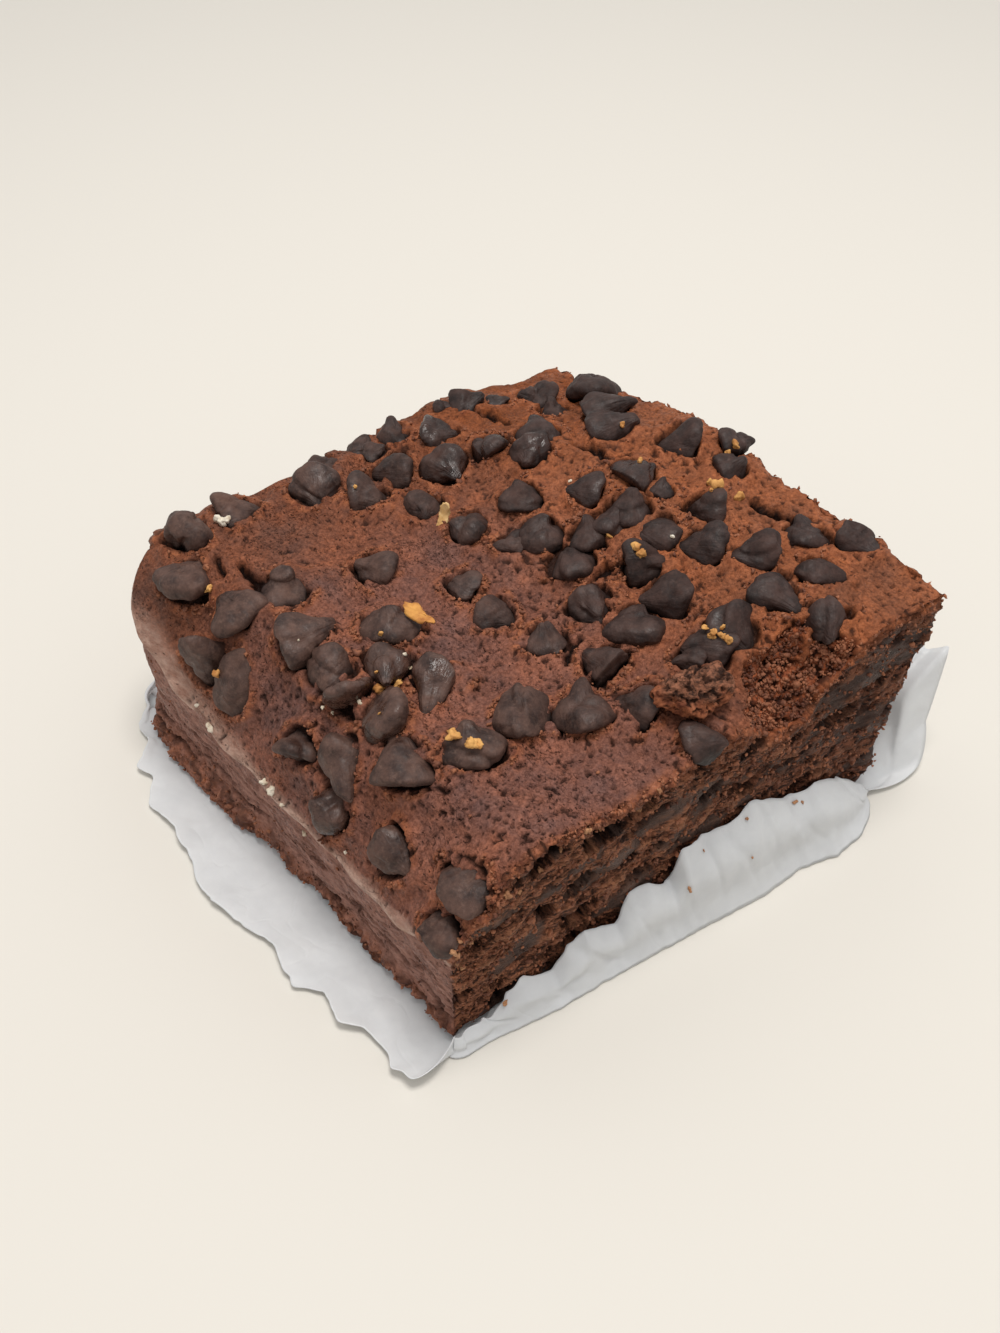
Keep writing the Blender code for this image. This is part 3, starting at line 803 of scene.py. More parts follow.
def seat_chip(piece, wet):
    """Mark a painted contact shade where each part of a chip sits low in the crust, the darker chips along
    the slab, and how wet each chip is.
    """
    points = points_of(piece.data)
    above = points[:, 2] - crust_height(points[:, 0], points[:, 1]) - CONTACT_SHADE_HEIGHT
    set_mask(piece.data, "darker", smooth((points[:, 0] - DARKER_FROM) / DARKER_FADE))
    # Painted contact shade: darkest below the crust, fading out up the chip
    set_mask(piece.data, "painted_contact_shade", 0.85 * (1.0 - smooth((above + 0.9) / CONTACT_SHADE_FADE)))
    set_mask(piece.data, "wet", np.full(len(points), float(wet)))


def make_chip(name, node, place, seed):
    """One chip: a drop with a flat base and a bent tip, melted out of true, folded and pressed."""
    melted_away = MELTED_CHIPS.get(node, 0.0)
    along, across, lift = CHIP_FORMS.get(node, (1.0, 1.0, 0.0))
    draw = np.random.default_rng(seed)
    deselect_all()
    bpy.ops.mesh.primitive_uv_sphere_add(segments=CHIP_ROUND, ring_count=CHIP_RINGS, radius=1.0)
    piece = named(name)
    points = points_of(piece.data)
    turn = np.arctan2(points[:, 1], points[:, 0])
    share = 1.0 - np.arccos(np.clip(points[:, 2], -1.0, 1.0)) / math.pi
    out, up = eased_outline(share)
    out = out * CHIP_WIDTH
    oval = 1.0 + draw.uniform(0.02, 0.12) * np.cos(2.0 * turn + draw.uniform(0.0, ANY_TURN))
    oval += draw.uniform(0.01, 0.06) * np.cos(3.0 * turn + draw.uniform(0.0, ANY_TURN))
    plump = 1.0 + (draw.uniform(-0.10, 0.14) + 0.5 * melted_away) * np.sin(math.pi * up) ** 2
    blunt = melted_away + draw.uniform(0.0, 0.08)
    bend = CHIP_TIP_BEND + draw.uniform(-0.4, 1.8)
    aside = draw.uniform(-1.4, 1.4)
    shaped = np.column_stack((out * np.cos(turn) * oval * plump + bend * up ** 2,
                              out * np.sin(turn) * oval * plump + aside * up ** 2.5,
                              up * (1.0 - blunt * up * up) * CHIP_HEIGHT))
    if node in KNOBBED_CHIPS:
        shaped[:, :2] *= (1.0 - 0.18 * np.exp(-((up - 0.56) / 0.09) ** 2))[:, None]
        centre = np.array((0.9 * bend, 0.7 * aside, 0.80 * CHIP_HEIGHT))
        outward = shaped - centre
        outward /= np.linalg.norm(outward, axis=1)[:, None] + 1e-6
        ball = centre + outward * KNOBBED_CHIPS[node]
        shaped += (ball - shaped) * smooth((up - 0.56) / 0.14)[:, None]
    offset = draw.uniform(0.0, 100.0)
    ways = shaped - (0.0, 0.0, 2.0)
    ways /= np.linalg.norm(ways, axis=1)[:, None] + 1e-6
    wrinkles = roughness_at(shaped, 2.6, 3, offset + 40.0, (1.0, 1.0, 2.0))
    melted = 0.55 * roughness_at(shaped, 3.8, 2, offset)
    melted -= 0.16 * np.clip(1.0 - np.abs(wrinkles) * 4.5, 0.0, 1.0) ** 2
    melted += 0.07 * roughness_at(shaped, 1.4, 3, offset + 60.0)
    melted += 0.04 * roughness_at(shaped, 0.7, 3, offset + 20.0)
    for _ in range(CHIP_FOLDS):
        way = np.array(any_way(draw))
        apart = (ways @ way - draw.uniform(-0.5, 0.5)) / draw.uniform(0.12, 0.26)
        melted -= draw.uniform(0.10, 0.50) * np.exp(-apart ** 2)
    shaped = shaped + ways * melted[:, None]
    for _ in range(CHIP_PRESSED):
        way = np.array(any_way(draw))
        reach = shaped @ way
        beyond = np.maximum(reach - np.percentile(reach, draw.uniform(84.0, 96.0)), 0.0)
        shaped = shaped - (0.65 * beyond)[:, None] * way
    shaped *= (across, across, along)
    set_points(piece.data, shaped)
    piece.data.transform(Matrix.Translation((0.0, 0.0, lift)) @ place)
    seat_chip(piece, node in WET_CHIPS)
    shade(piece)
    return piece


# ---------------------------------------------------------------- crust relief

# Cracks in the crust: (width, depth, points of the plan)
CRACKS = (
    (1.4, 2.6, ((73.2, 22.4), (74.3, 20.3), (74.9, 18.5), (75.4, 16.9), (75.7, 15.4))),
    (1.1, 2.0, ((63.0, 50.5), (64.0, 47.0), (63.0, 44.5), (66.0, 43.0))),
    (1.0, 1.7, ((58.0, 71.5), (59.5, 67.5), (60.0, 63.5))),
    (0.9, 1.4, ((46.0, 27.5), (49.0, 28.5), (51.5, 26.5))),
    (0.7, 1.1, ((35.0, 20.0), (36.0, 21.5), (38.5, 21.5))),
    (1.1, 2.0, ((9.5, 64.3), (9.4, 62.0), (9.1, 60.1), (9.1, 58.0), (8.2, 55.6))),
    (0.9, 1.6, ((7.2, 67.4), (6.9, 64.8))),
)

# Deep holes in the cut front: x, height, half length, half height, depth
CUT_HOLES = (
    (13.9, 30.5, 2.6, 1.2, 2.4), (24.0, 29.0, 3.0, 1.3, 2.6), (29.5, 29.5, 3.4, 1.2, 2.4),
    (20.3, 12.3, 2.0, 1.7, 3.2), (14.3, 17.8, 1.0, 1.2, 1.8), (19.7, 20.0, 1.7, 1.2, 2.2),
    (41.5, 23.2, 1.8, 0.9, 2.0), (7.5, 3.0, 2.0, 1.2, 1.5), (33.0, 18.0, 1.2, 0.7, 1.2),
    (58.0, 20.0, 1.6, 0.8, 1.5), (66.0, 24.0, 1.8, 0.9, 1.6), (48.0, 29.0, 1.5, 0.8, 1.4),
)
LIP_WIDTH = 1.1
# Heights and depths of the slab's relief, in millimetres
SWELL_HEIGHT = 0.42
COLLAR_HEIGHT = 0.9
CREVICE_DEPTH = 1.7
PIT_DEPTH = 0.9
BREAK_RIM_HEIGHT = 0.9
CRACK_RIM_HEIGHT = 0.3
CAVE_DEPTH = 1.9
HOLE_DEPTH = 1.7
SLOT_DEPTH = 1.6
LIP_HEIGHT = 0.30
# Where beside the back the foot is held in, so that it stays in the paper, and how far
HELD_IN_FROM = 72.0
HELD_IN_FADE = 7.0
HELD_IN_SHARE = 0.75
# Where the crust begins to be calmer away from the front, and over what length
CALM_FROM = 30.0
CALM_FADE = 30.0
# Where along the slab its crust begins to turn a warmer brown, and over what length
WARM_FROM = 30.0
WARM_FADE = 32.0
# Where away from the front the crust begins to be deeper in colour, and over what length
FAR_END_FROM = 42.0
FAR_END_FADE = 26.0


def chip_clearance(points, places):
    """How far each point is from the nearest chip's skin, in millimetres; negative inside."""
    nearest = np.full(len(points), 50.0)
    for place in places:
        size = place.to_scale().x
        reach = 9.0 * size
        middle = np.array(place @ Vector((0.0, 0.0, 2.0)))
        close = np.where(np.linalg.norm(points - middle, axis=1) < reach + 3.0)[0]
        if not len(close):
            continue
        inverse = np.array(place.inverted())
        local = points[close] @ inverse[:3, :3].T + inverse[:3, 3]
        up = local[:, 2] / CHIP_HEIGHT
        bend = CHIP_TIP_BEND * np.clip(up, 0.0, 1.0) ** 2
        out = np.hypot(local[:, 0] - bend, local[:, 1])
        skin = chip_outline(np.clip(up, 0.0, 1.0))
        sideways = (out - skin) * 0.85
        beyond = np.maximum(-local[:, 2], local[:, 2] - CHIP_HEIGHT)
        gap = np.where((up > 0.0) & (up < 1.0), np.maximum(sideways, beyond),
                       np.hypot(np.maximum(out - skin, 0.0), np.maximum(beyond, 0.0)))
        nearest[close] = np.minimum(nearest[close], gap * size)
    return nearest


def distance_to_line(points, line):
    """Distance in plan from each point to a line of straight stretches."""
    best = np.full(len(points), 1e3)
    for start, end in zip(line, line[1:]):
        start, end = np.array(start), np.array(end)
        along = end - start
        share = np.clip((points - start) @ along / (along @ along), 0.0, 1.0)
        best = np.minimum(best, np.linalg.norm(points - start - share[:, None] * along, axis=1))
    return best


def make_slab(places):
    """The brownie: a grid with its edge drawn down for the sides, shaped and given its relief."""
    deselect_all()
    bpy.ops.mesh.primitive_grid_add(x_subdivisions=TOP_CELLS, y_subdivisions=TOP_CELLS, size=1.0,
                                    location=(0.5, 0.5, 1.0))
    slab = named("brownie_slab")
    bpy.ops.object.transform_apply(location=True)
    edit(slab)
    bpy.ops.mesh.select_all(action="SELECT")
    bpy.ops.mesh.region_to_loop()
    bpy.ops.mesh.extrude_region_move(TRANSFORM_OT_translate={"value": (0.0, 0.0, -1.0)})
    bpy.ops.mesh.edge_face_add()
    close_edit()
    upright = [abs(slab.data.vertices[edge.vertices[0]].co.z
                   - slab.data.vertices[edge.vertices[1]].co.z) > 0.5 for edge in slab.data.edges]
    edit(slab)
    bpy.ops.mesh.select_mode(type="EDGE")
    bpy.ops.mesh.select_all(action="DESELECT")
    close_edit()
    slab.data.edges.foreach_set("select", upright)
    edit(slab)
    bpy.ops.mesh.subdivide(number_cuts=SIDE_CELLS - 1)
    close_edit()
    face_outwards(slab)
    fractions = np.round(points_of(slab.data), 5)
    fractions[:, 1] **= FRONT_CROWDING
    base = slab_surface(fractions)
    set_points(slab.data, base)
    normals = normals_of(slab.data)

    up = fractions[:, 2]
    top = (up > FAR_EDGE).astype(float)
    height = base[:, 2]
    below_rim = crust_height(base[:, 0], base[:, 1]) - height
    on_tin = (fractions[:, 0] < NEAR_EDGE) | (fractions[:, 1] > FAR_EDGE)
    on_tin = (on_tin & (up < FAR_EDGE)).astype(float)
    on_cut = ((up < FAR_EDGE) & (up > NEAR_EDGE)).astype(float) * (1.0 - on_tin)
    front_edge = base[:, 1] + 6.0 * base[:, 0] / 75.0
    right_edge = (CORNER_RIGHT.x + TOP_OVERHANG + 1.5 * fractions[:, 1]) - base[:, 0]
    tin_edge = base[:, 0] - CORNER_LEFT.x * np.clip(base[:, 1] / CORNER_LEFT.y, 0.0, 1.0)
    cut_edge = np.minimum(np.abs(front_edge), np.abs(right_edge))

    # Crust: swells, grain and a collar round each chip
    swell = roughness_at(base, 6.5, 3, 3.0)
    grain = roughness_at(base, 1.5, 4, 11.0)
    pitted = roughness_at(base, 0.9, 3, 14.0)
    clearance = chip_clearance(base, places)
    collar = 1.0 - smooth((clearance - 0.5) / (3.2 + 1.6 * swell))
    gaping = smooth((roughness_at(base, 4.0, 2, 90.0) + 0.36) / 0.4)
    crevice = gaping * (1.0 - smooth((clearance + 0.05) / (0.50 + 0.40 * grain)))
    rough_zone = smooth((roughness_at(base, 13.0, 3, 40.0) + 0.15) / 0.5)
    torn_ring = gaping * np.exp(-((clearance - 1.1) / 0.6) ** 2)
    lively = 1.0 - 0.55 * smooth((base[:, 1] - CALM_FROM) / CALM_FADE)
    relief = top * (SWELL_HEIGHT * swell + lively * (0.08 + 0.15 * rough_zone) * grain
                    + COLLAR_HEIGHT * collar
                    + 0.10 * lively * roughness_at(base, 0.8, 2, 17.0)
                    + 0.34 * torn_ring * (grain + 0.2))
    pits = np.clip(pitted - 0.25, 0.0, 1.0) * lively * (0.7 + rough_zone + torn_ring)
    relief -= top * (crevice * CREVICE_DEPTH + PIT_DEPTH * pits)

    # Broken corner of crust, open crumb beneath
    broken = np.hypot((base[:, 0] - BREAK_CENTRE.x) / BREAK_HALF.x,
                      (base[:, 1] - BREAK_CENTRE.y) / BREAK_HALF.y)
    broken += 0.24 * roughness_at(base, 4.5, 5, 21.0)
    open_crumb = top * (1.0 - smooth((broken - 0.66) / 0.05))
    sponge = roughness_at(base, 1.3, 4, 9.0)
    bubble = smooth((roughness_at(base, 0.9, 2, 25.0) - 0.16) / 0.18)
    relief += open_crumb * (0.45 * sponge + 0.6 * roughness_at(base, 3.5, 2, 29.0) - 0.55 * bubble - 0.6)
    relief += top * BREAK_RIM_HEIGHT * np.exp(-((broken - 0.75) / 0.07) ** 2)

    # Cracks
    wander = np.column_stack((roughness_at(base, 2.2, 3, 31.0), roughness_at(base, 2.2, 3, 37.0)))
    wandered = base[:, :2] + 0.9 * wander
    crack = np.zeros(len(base))
    for width, depth, line in CRACKS:
        near = distance_to_line(wandered, line)
        crack = np.maximum(crack, depth * (1.0 - smooth(near / width)))
        relief += top * CRACK_RIM_HEIGHT * np.exp(-((near - 1.5 * width) / 0.8) ** 2)
    relief -= top * crack

    # Cut sides: crumb dragged along the knife's way, smeared in places, with hollows
    lean = math.radians(DRAG_LEAN)
    run = base[:, 0] + base[:, 1]
    dragged = np.column_stack((run * math.cos(lean) + height * math.sin(lean),
                               0.4 * (base[:, 0] - base[:, 1]),
                               height * math.cos(lean) - run * math.sin(lean)))
    drag = roughness_at(dragged, 1.2, 4, 50.0, (4.5, 2.0, 0.8))
    clump = roughness_at(dragged, 0.9, 4, 55.0, (1.8, 1.3, 0.9))
    smear = smooth((roughness_at(dragged, 4.5, 3, 58.0, (2.6, 1.5, 0.8)) - 0.10) / 0.18)
    caves = roughness_at(dragged, 3.6, 4, 61.0, (1.8, 1.5, 0.8))
    cave = smooth((caves - 0.31) / 0.12) * (1.0 - smear)
    hole = np.zeros(len(base))
    ragged = 0.40 * roughness_at(base, 1.8, 4, 63.0)
    on_front = on_cut * (fractions[:, 1] < NEAR_EDGE)
    for x, z, half_length, half_height, depth in CUT_HOLES:
        along = (base[:, 0] - x) * math.cos(lean) + (height - z) * math.sin(lean)
        across = (height - z) * math.cos(lean) - (base[:, 0] - x) * math.sin(lean)
        apart = np.hypot(along / half_length, across / half_height) / 1.6 + ragged
        hole = np.maximum(hole, on_front * depth * (1.0 - smooth((apart - 0.75) / 0.22)))
    uneven = 0.50 * drag + 0.40 * clump
    relief += on_cut * (uneven * (1.0 - 0.75 * smear) + 0.45 * roughness_at(base, 5.0, 2, 66.0))
    relief -= on_cut * cave * CAVE_DEPTH + HOLE_DEPTH * hole
    crumbly_rim = (1.0 - smooth(below_rim / 3.5)) * on_cut
    relief += crumbly_rim * 0.7 * roughness_at(base, 1.5, 4, 68.0)

    # Tin sides: a smooth lip below the crust, fine streaks, slots low down, a crumbly foot
    lip_edge = below_rim - LIP_WIDTH - 0.35 * roughness_at(base, 6.0, 2, 69.0)
    lip = on_tin * (1.0 - smooth((lip_edge + 0.2) / 0.4))
    below_lip = on_tin * smooth((lip_edge - 0.1) / 0.4)
    streak = roughness_at(base, 1.0, 4, 70.0, (1.1, 1.1, 0.8))
    slots = roughness_at(base, 2.2, 4, 77.0, (3.4, 3.4, 0.5))
    low_down = 1.0 - smooth((height - 3.0) / 11.0)
    slot = smooth((slots - 0.24) / 0.14) * low_down * below_lip
    foot = 1.0 - smooth((height - 1.5) / (4.0 + 3.0 * smooth((base[:, 1] - 35.0) / 25.0)))
    held_in = 1.0 - HELD_IN_SHARE * smooth((base[:, 1] - HELD_IN_FROM) / HELD_IN_FADE)
    relief += on_tin * foot * held_in * (0.9 * roughness_at(base, 1.6, 4, 72.0) + 0.9)
    relief += LIP_HEIGHT * lip + below_lip * (0.18 * streak - 0.5 * (1.0 - smooth((lip_edge - 1.0) / 5.0)))
    relief -= slot * SLOT_DEPTH

    # Edges: the cut rim crumbles; the tin rim's thin raised lip is made with the tin sides above
    rim_wear = top * (1.0 - smooth(cut_edge / 1.8))
    relief -= rim_wear * (0.3 + 0.9 * np.clip(roughness_at(base, 2.8, 3, 81.0), -0.2, 1.0))
    shaped = base + normals * relief[:, None]
    shaped[:, 2] = np.where(up < NEAR_EDGE, base[:, 2], np.maximum(shaped[:, 2], SLAB_FOOT))
    set_points(slab.data, shaped)

    # Painted shade: near black in the sunken cut, the foot's crevices, cracks, caves, holes, slots, crumb
    # bubbles, gaps beside chips, pits and under the lip
    sunken = on_cut * smooth((-0.14 - uneven) / 0.22) * (1.0 - 0.6 * smear)
    foot_crevice_shade = on_tin * foot * smooth((roughness_at(base, 2.2, 3, 85.0) - 0.02) / 0.25)
    under_lip = np.exp(-((lip_edge - 0.5) / 0.25) ** 2) * smooth((slots + 0.1) / 0.2)
    hollow_shade = np.maximum.reduce([
        0.7 * sunken, 0.65 * foot_crevice_shade, top * smooth((crack - 0.30) / 0.6),
        on_cut * smooth(cave * 1.3) * 0.95, smooth(hole / 0.4), slot * 0.9,
        open_crumb * bubble * 0.9, top * smooth(crevice * 1.6) * 0.92,
        top * smooth((pits - 0.10) / 0.14) * 0.8, 0.5 * below_lip * under_lip])
    smooth_rim = 0.4 + 2.6 * smooth((base[:, 1] - 38.0) / 22.0) * (1.0 + 0.6 * swell)
    smooth_band = 0.75 * top * (1.0 - smooth((tin_edge - 0.1) / smooth_rim))
    torn = np.maximum.reduce([crumbly_rim * 0.8, top * 0.75 * torn_ring,
                              on_tin * foot * 0.48, rim_wear * 0.6])
    for name, values in (
            ("hollow_shade", hollow_shade),
            ("tin_side", on_tin),
            ("lip", np.maximum(lip, smooth_band)),
            ("cut_side", on_cut * smooth((below_rim - 0.5) / 2.0)),
            ("smear", on_cut * smear),
            # Painted highlight on the raised crumb of the cut side
            ("proud_highlight", on_cut * smooth((uneven - 0.08) / 0.30) * (1.0 - 0.7 * smear)),
            ("warm", smooth((base[:, 0] - WARM_FROM) / WARM_FADE)),
            ("far_end", smooth((base[:, 1] - FAR_END_FROM) / FAR_END_FADE)),
            ("opened", open_crumb),
            ("torn", torn)):
        set_mask(slab.data, name, values)
    thin_out(slab)
    shade(slab)
    return slab


# ---------------------------------------------------------------- paper case

PAPER_THICKNESS = 0.12
PAPER_SUNK = 0.3
PAPER_CORNERS = ((0.0, -0.5), (74.0, -6.5), (77.0, 79.5), (-4.0, 77.0))
PAPER_SIDE_STEPS = 220
PAPER_LEVELS = 26
PAPER_CORNER_STEPS = 60
PAPER_CORNER_SHARE = 0.03
# Round the case from the front corner, a side to each 1.0: (place, fold's distance out,
# rim's distance out, bulge of the wall)
PAPER_STATIONS = (
    (0.00, 3.2, 1.2, 0.2), (0.08, 3.2, 0.9, 0.3), (0.13, 3.8, 0.5, 0.5), (0.20, 4.5, 0.3, 0.8),
    (0.32, 4.8, 0.2, 0.8), (0.52, 5.8, 0.2, 0.9), (0.66, 6.7, 0.2, 1.0), (0.76, 6.2, 0.2, 1.0),
    (0.84, 7.6, 0.2, 1.0), (0.91, 7.0, 0.2, 0.8), (0.955, 5.2, 0.3, 0.6), (0.985, 2.8, 0.8, 0.3),
    (1.005, 1.6, 3.0, 0.0), (1.015, 1.6, 8.5, 0.0), (1.022, 1.8, 13.0, 0.0), (1.03, 2.0, 14.8, 0.0),
    (1.06, 2.5, 19.2, 0.0), (1.12, 2.5, 17.5, 0.0), (1.35, 2.5, 11.0, 0.0), (2.00, 2.5, 7.5, 0.4),
    (2.80, 4.2, 7.4, 0.4), (2.92, 4.8, 6.4, 0.2), (2.98, 4.4, 4.8, 0.0), (3.01, 2.6, 2.8, 0.0),
    (3.05, 1.6, 2.6, 0.0),
)
# The rim's height at places round the case; its lobes rise steeply and fall gently
PAPER_RIM_HEIGHTS = (
    (0.00, 2.8), (0.02, 2.6), (0.05, 3.0), (0.09, 2.6), (0.115, 4.2), (0.157, 6.3), (0.22, 3.9),
    (0.245, 6.4), (0.29, 9.2), (0.355, 6.4), (0.39, 10.8), (0.43, 11.3), (0.475, 8.9), (0.495, 15.4),
    (0.525, 15.6), (0.60, 14.4), (0.635, 15.4), (0.655, 16.4), (0.69, 15.4), (0.755, 11.8),
    (0.80, 11.4), (0.82, 12.2), (0.875, 9.6), (0.93, 6.0), (0.955, 4.0), (0.985, 2.4),
    (1.005, 0.9), (1.015, 0.7), (1.022, 1.2), (1.03, 7.0), (1.06, 20.0), (1.09, 17.0),
    (1.12, 19.0), (1.20, 14.5), (1.26, 17.5), (1.37, 13.0), (1.42, 16.5), (1.52, 12.5),
    (1.57, 15.5), (1.67, 12.0), (1.72, 15.0), (1.82, 11.5), (1.87, 14.5), (1.96, 11.0),
    (2.05, 14.5), (2.15, 11.0), (2.20, 14.0), (2.32, 10.5), (2.37, 13.5), (2.48, 10.0),
    (2.53, 13.0), (2.63, 9.5), (2.68, 12.0), (2.78, 8.0), (2.83, 8.5), (2.92, 3.5), (2.98, 1.0),
    (3.03, 0.5), (3.10, 0.5), (3.18, 1.0), (3.24, 0.5), (3.32, 1.1), (3.40, 0.5), (3.50, 1.2),
    (3.58, 0.5), (3.66, 1.2), (3.74, 0.6), (3.82, 1.3), (3.90, 0.8), (3.97, 1.8),
)
# How far out the flattened rim beside the tin side reaches, at distances from the front corner
FLAT_RIM = (
    (0.0, 9.0), (1.2, 9.7), (3.4, 8.8), (6.1, 8.7), (8.4, 9.1), (10.9, 11.0), (13.4, 10.3),
    (15.9, 9.8), (17.6, 10.6), (19.8, 12.7), (22.8, 11.8), (25.5, 10.8), (28.5, 11.0),
    (35.4, 12.6), (39.1, 13.1), (41.9, 13.1), (46.2, 11.6), (49.6, 11.2), (53.7, 10.2),
    (56.3, 10.3), (60.6, 10.7), (64.5, 7.5), (68.4, 7.9), (71.7, 3.9), (76.7, 3.2), (80.0, 2.5),
)
FLAT_FOLD = 0.30
PLEAT_LEAN = -0.06


def eased(rows, place, blur):
    """A row table read at a place, averaged a little to either side."""
    places, *columns = zip(*rows)
    near = place + blur * np.array((-1.0, -0.6, -0.3, 0.0, 0.3, 0.6, 1.0))
    return [float(np.interp(near, places, column).mean()) for column in columns]


def paper_measures(place, plan):
    """The wall's fold, rim, bulge, height and pleat at a place round the case."""
    round_rows = (*PAPER_STATIONS, (PAPER_STATIONS[0][0] + 4.0, *PAPER_STATIONS[0][1:]))
    fold, rim, bulge = eased(round_rows, place, 0.004)
    high_rows = (*PAPER_RIM_HEIGHTS, (4.0, PAPER_RIM_HEIGHTS[0][1]))
    height, = eased(high_rows, place, 0.0022)
    general, = eased(high_rows, place, 0.08)
    flat = float(smooth((place - 3.0) / 0.05) * (1.0 - smooth((place - 3.975) / 0.025)))
    reach, = eased(FLAT_RIM, plan.y, 0.4)
    rim += flat * (reach + plan.x + 0.0875 * plan.y - rim)
    fold += flat * (max(FLAT_FOLD * rim, 2.6) - fold)
    return fold, rim, bulge, height, height - general


def paper_round():
    """Stations round the case: (place, plan point, outward direction, distance run)."""
    corners = [Vector(corner) for corner in PAPER_CORNERS]
    sides = list(zip(corners, corners[1:] + corners[:1]))
    ways = [(end - start).normalized() for start, end in sides]
    outs = [Vector((way.y, -way.x)) for way in ways]
    stations = []
    run = 0.0
    for side, (start, end) in enumerate(sides):
        out = outs[side]
        next_out = outs[(side + 1) % 4]
        for step in range(PAPER_SIDE_STEPS):
            share = step / PAPER_SIDE_STEPS
            place = side + PAPER_CORNER_SHARE + share * (1.0 - 2.0 * PAPER_CORNER_SHARE)
            distance = run + share * (end - start).length
            stations.append((place, start.lerp(end, share), out, distance))
        run += (end - start).length
        for step in range(PAPER_CORNER_STEPS):
            share = step / PAPER_CORNER_STEPS
            place = side + 1.0 + PAPER_CORNER_SHARE * (2.0 * share - 1.0)
            turned = out.slerp(next_out, share)
            stations.append((place % 4.0, end.copy(), turned, run))
    return stations


def paper_wall(place, plan, run, up):
    """How far out and how high the wall is, `up` from its fold (0) to its rim (1)."""
    fold, rim, bulge, height, pleat = paper_measures(place, plan)
    flat = 1.0 if place > 3.04 else 0.0
    leaned = up + 0.12 * (1.0 - flat) * math.sin(2.0 * math.pi * up)
    out = fold + (rim - fold) * leaned + bulge * math.sin(math.pi * up) + PLEAT_LEAN * pleat * up
    out += 0.45 * up * noise.noise(Vector((run / 4.0, up * 2.0, 4.0)))
    fold_line = abs(noise.noise(Vector(((run + 5.0 * up) / 5.5, up * 0.6, 34.0))))
    out -= 0.55 * up * (1.0 - 0.5 * flat) * max(1.0 - 7.0 * fold_line, 0.0)
    out += 0.25 * (1.0 - flat) * max(up - 0.86, 0.0) / 0.14
    out += 0.20 * noise.noise(Vector((run / 1.7, up * 3.0, 14.0)))
    rise = height * up ** (1.0 + 0.6 * flat)
    rise += 0.35 * up * noise.noise(Vector((run / 5.0, up * 1.5, 24.0))) + 0.10 * flat * up
    return out, 0.5 * (rise + math.hypot(rise, 0.12)) - 0.06


def make_paper():
    """The case: a flat base, its edge drawn up ring by ring into a fluted wall, then thickened."""
    stations = paper_round()
    deselect_all()
    bpy.ops.mesh.primitive_circle_add(vertices=len(stations), radius=1.0, fill_type="NGON")
    paper = named("paper_case_fluted")
    edit(paper)
    bpy.ops.mesh.select_mode(type="EDGE")
    bpy.ops.mesh.select_all(action="SELECT")
    bpy.ops.mesh.region_to_loop()
    for level in range(PAPER_LEVELS + 1):
        bpy.ops.mesh.extrude_edges_move(TRANSFORM_OT_translate={"value": (0.0, 0.0, 1.0)})
    close_edit()
    points = points_of(paper.data)
    turn = np.arctan2(-points[:, 0], points[:, 1]) / (2.0 * math.pi) % 1.0
    index = np.round(turn * len(stations)).astype(int) % len(stations)
    ring = np.round(points[:, 2]).astype(int)
    shaped = np.empty_like(points)
    for number, (station, level) in enumerate(zip(index, ring)):
        place, plan, out, run = stations[station]
        reach, height = 0.0, 0.0
        if level > 0:
            reach, height = paper_wall(place, plan, run, (level - 1) / PAPER_LEVELS)
        spot = plan + out * reach
        shaped[number] = (spot.x, spot.y, height - PAPER_SUNK + PAPER_THICKNESS)
    set_points(paper.data, shaped)
    face_outwards(paper)
    thicken(paper, PAPER_THICKNESS, 0.0)
    shade(paper)
    return paper


# ---------------------------------------------------------------- crumbs

def crumb_place(draw, spot, turn, size, widths):
    """Where a crumb goes: at a spot, turned about a way, a little narrower one way."""
    return (Matrix.Translation(spot) @ Matrix.Rotation(draw.uniform(0.0, ANY_TURN), 4, turn)
            @ Matrix.Diagonal((size, size * draw.uniform(*widths), size, 1.0)))


def crumb_forms(count, fineness, seed):
    """A few knobbly crumbs, about 1 across."""
    forms = []
    for number in range(count):
        deselect_all()
        bpy.ops.mesh.primitive_ico_sphere_add(subdivisions=fineness, radius=0.5)
        crumb = named("crumb_form")
        points = points_of(crumb.data)
        draw = np.random.default_rng(seed + number)
        points *= draw.uniform(0.7, 1.2, 3)
        points *= 1.0 + 0.95 * roughness_at(points, 0.55, 3, 10.0 * number + seed)[:, None]
        set_points(crumb.data, points)
        forms.append(form_of(crumb))
    return forms


def scatter_crumbs(name, slab, chance, count, sizes, sunk, seed, fineness):
    """Crumbs stuck to the slab, where `chance` says, each `sunk` of its size into the surface."""
    draw = np.random.default_rng(seed)
    points, normals = points_of(slab.data), normals_of(slab.data)
    order = np.lexsort(np.round(points, 3).T)
    chance = chance[order] / chance[order].sum()
    chosen = order[draw.choice(len(points), size=count, p=chance)]
    forms = crumb_forms(6, fineness, seed)
    places = []
    for index in chosen:
        size = sizes[0] + (sizes[1] - sizes[0]) * draw.random() ** 2.2
        spot = Vector(points[index] + normals[index] * size * (0.5 - sunk))
        spot += Vector(draw.uniform(-0.2, 0.2, 3))
        place = crumb_place(draw, spot, any_way(draw), size, (0.7, 1.1))
        places.append((int(draw.integers(len(forms))), place))
    return joined_copies(name, forms, places)


# Loose crumb on the slab: name, how many, sizes, share sunk, seed, fineness
LOOSE_CRUMBS = (
    ("crumbs_on_slab", 9700, (0.22, 0.66), 0.35, 5, 1),
    ("large_crumbs_on_slab", 600, (0.5, 1.05), 0.45, 9, 2),
)
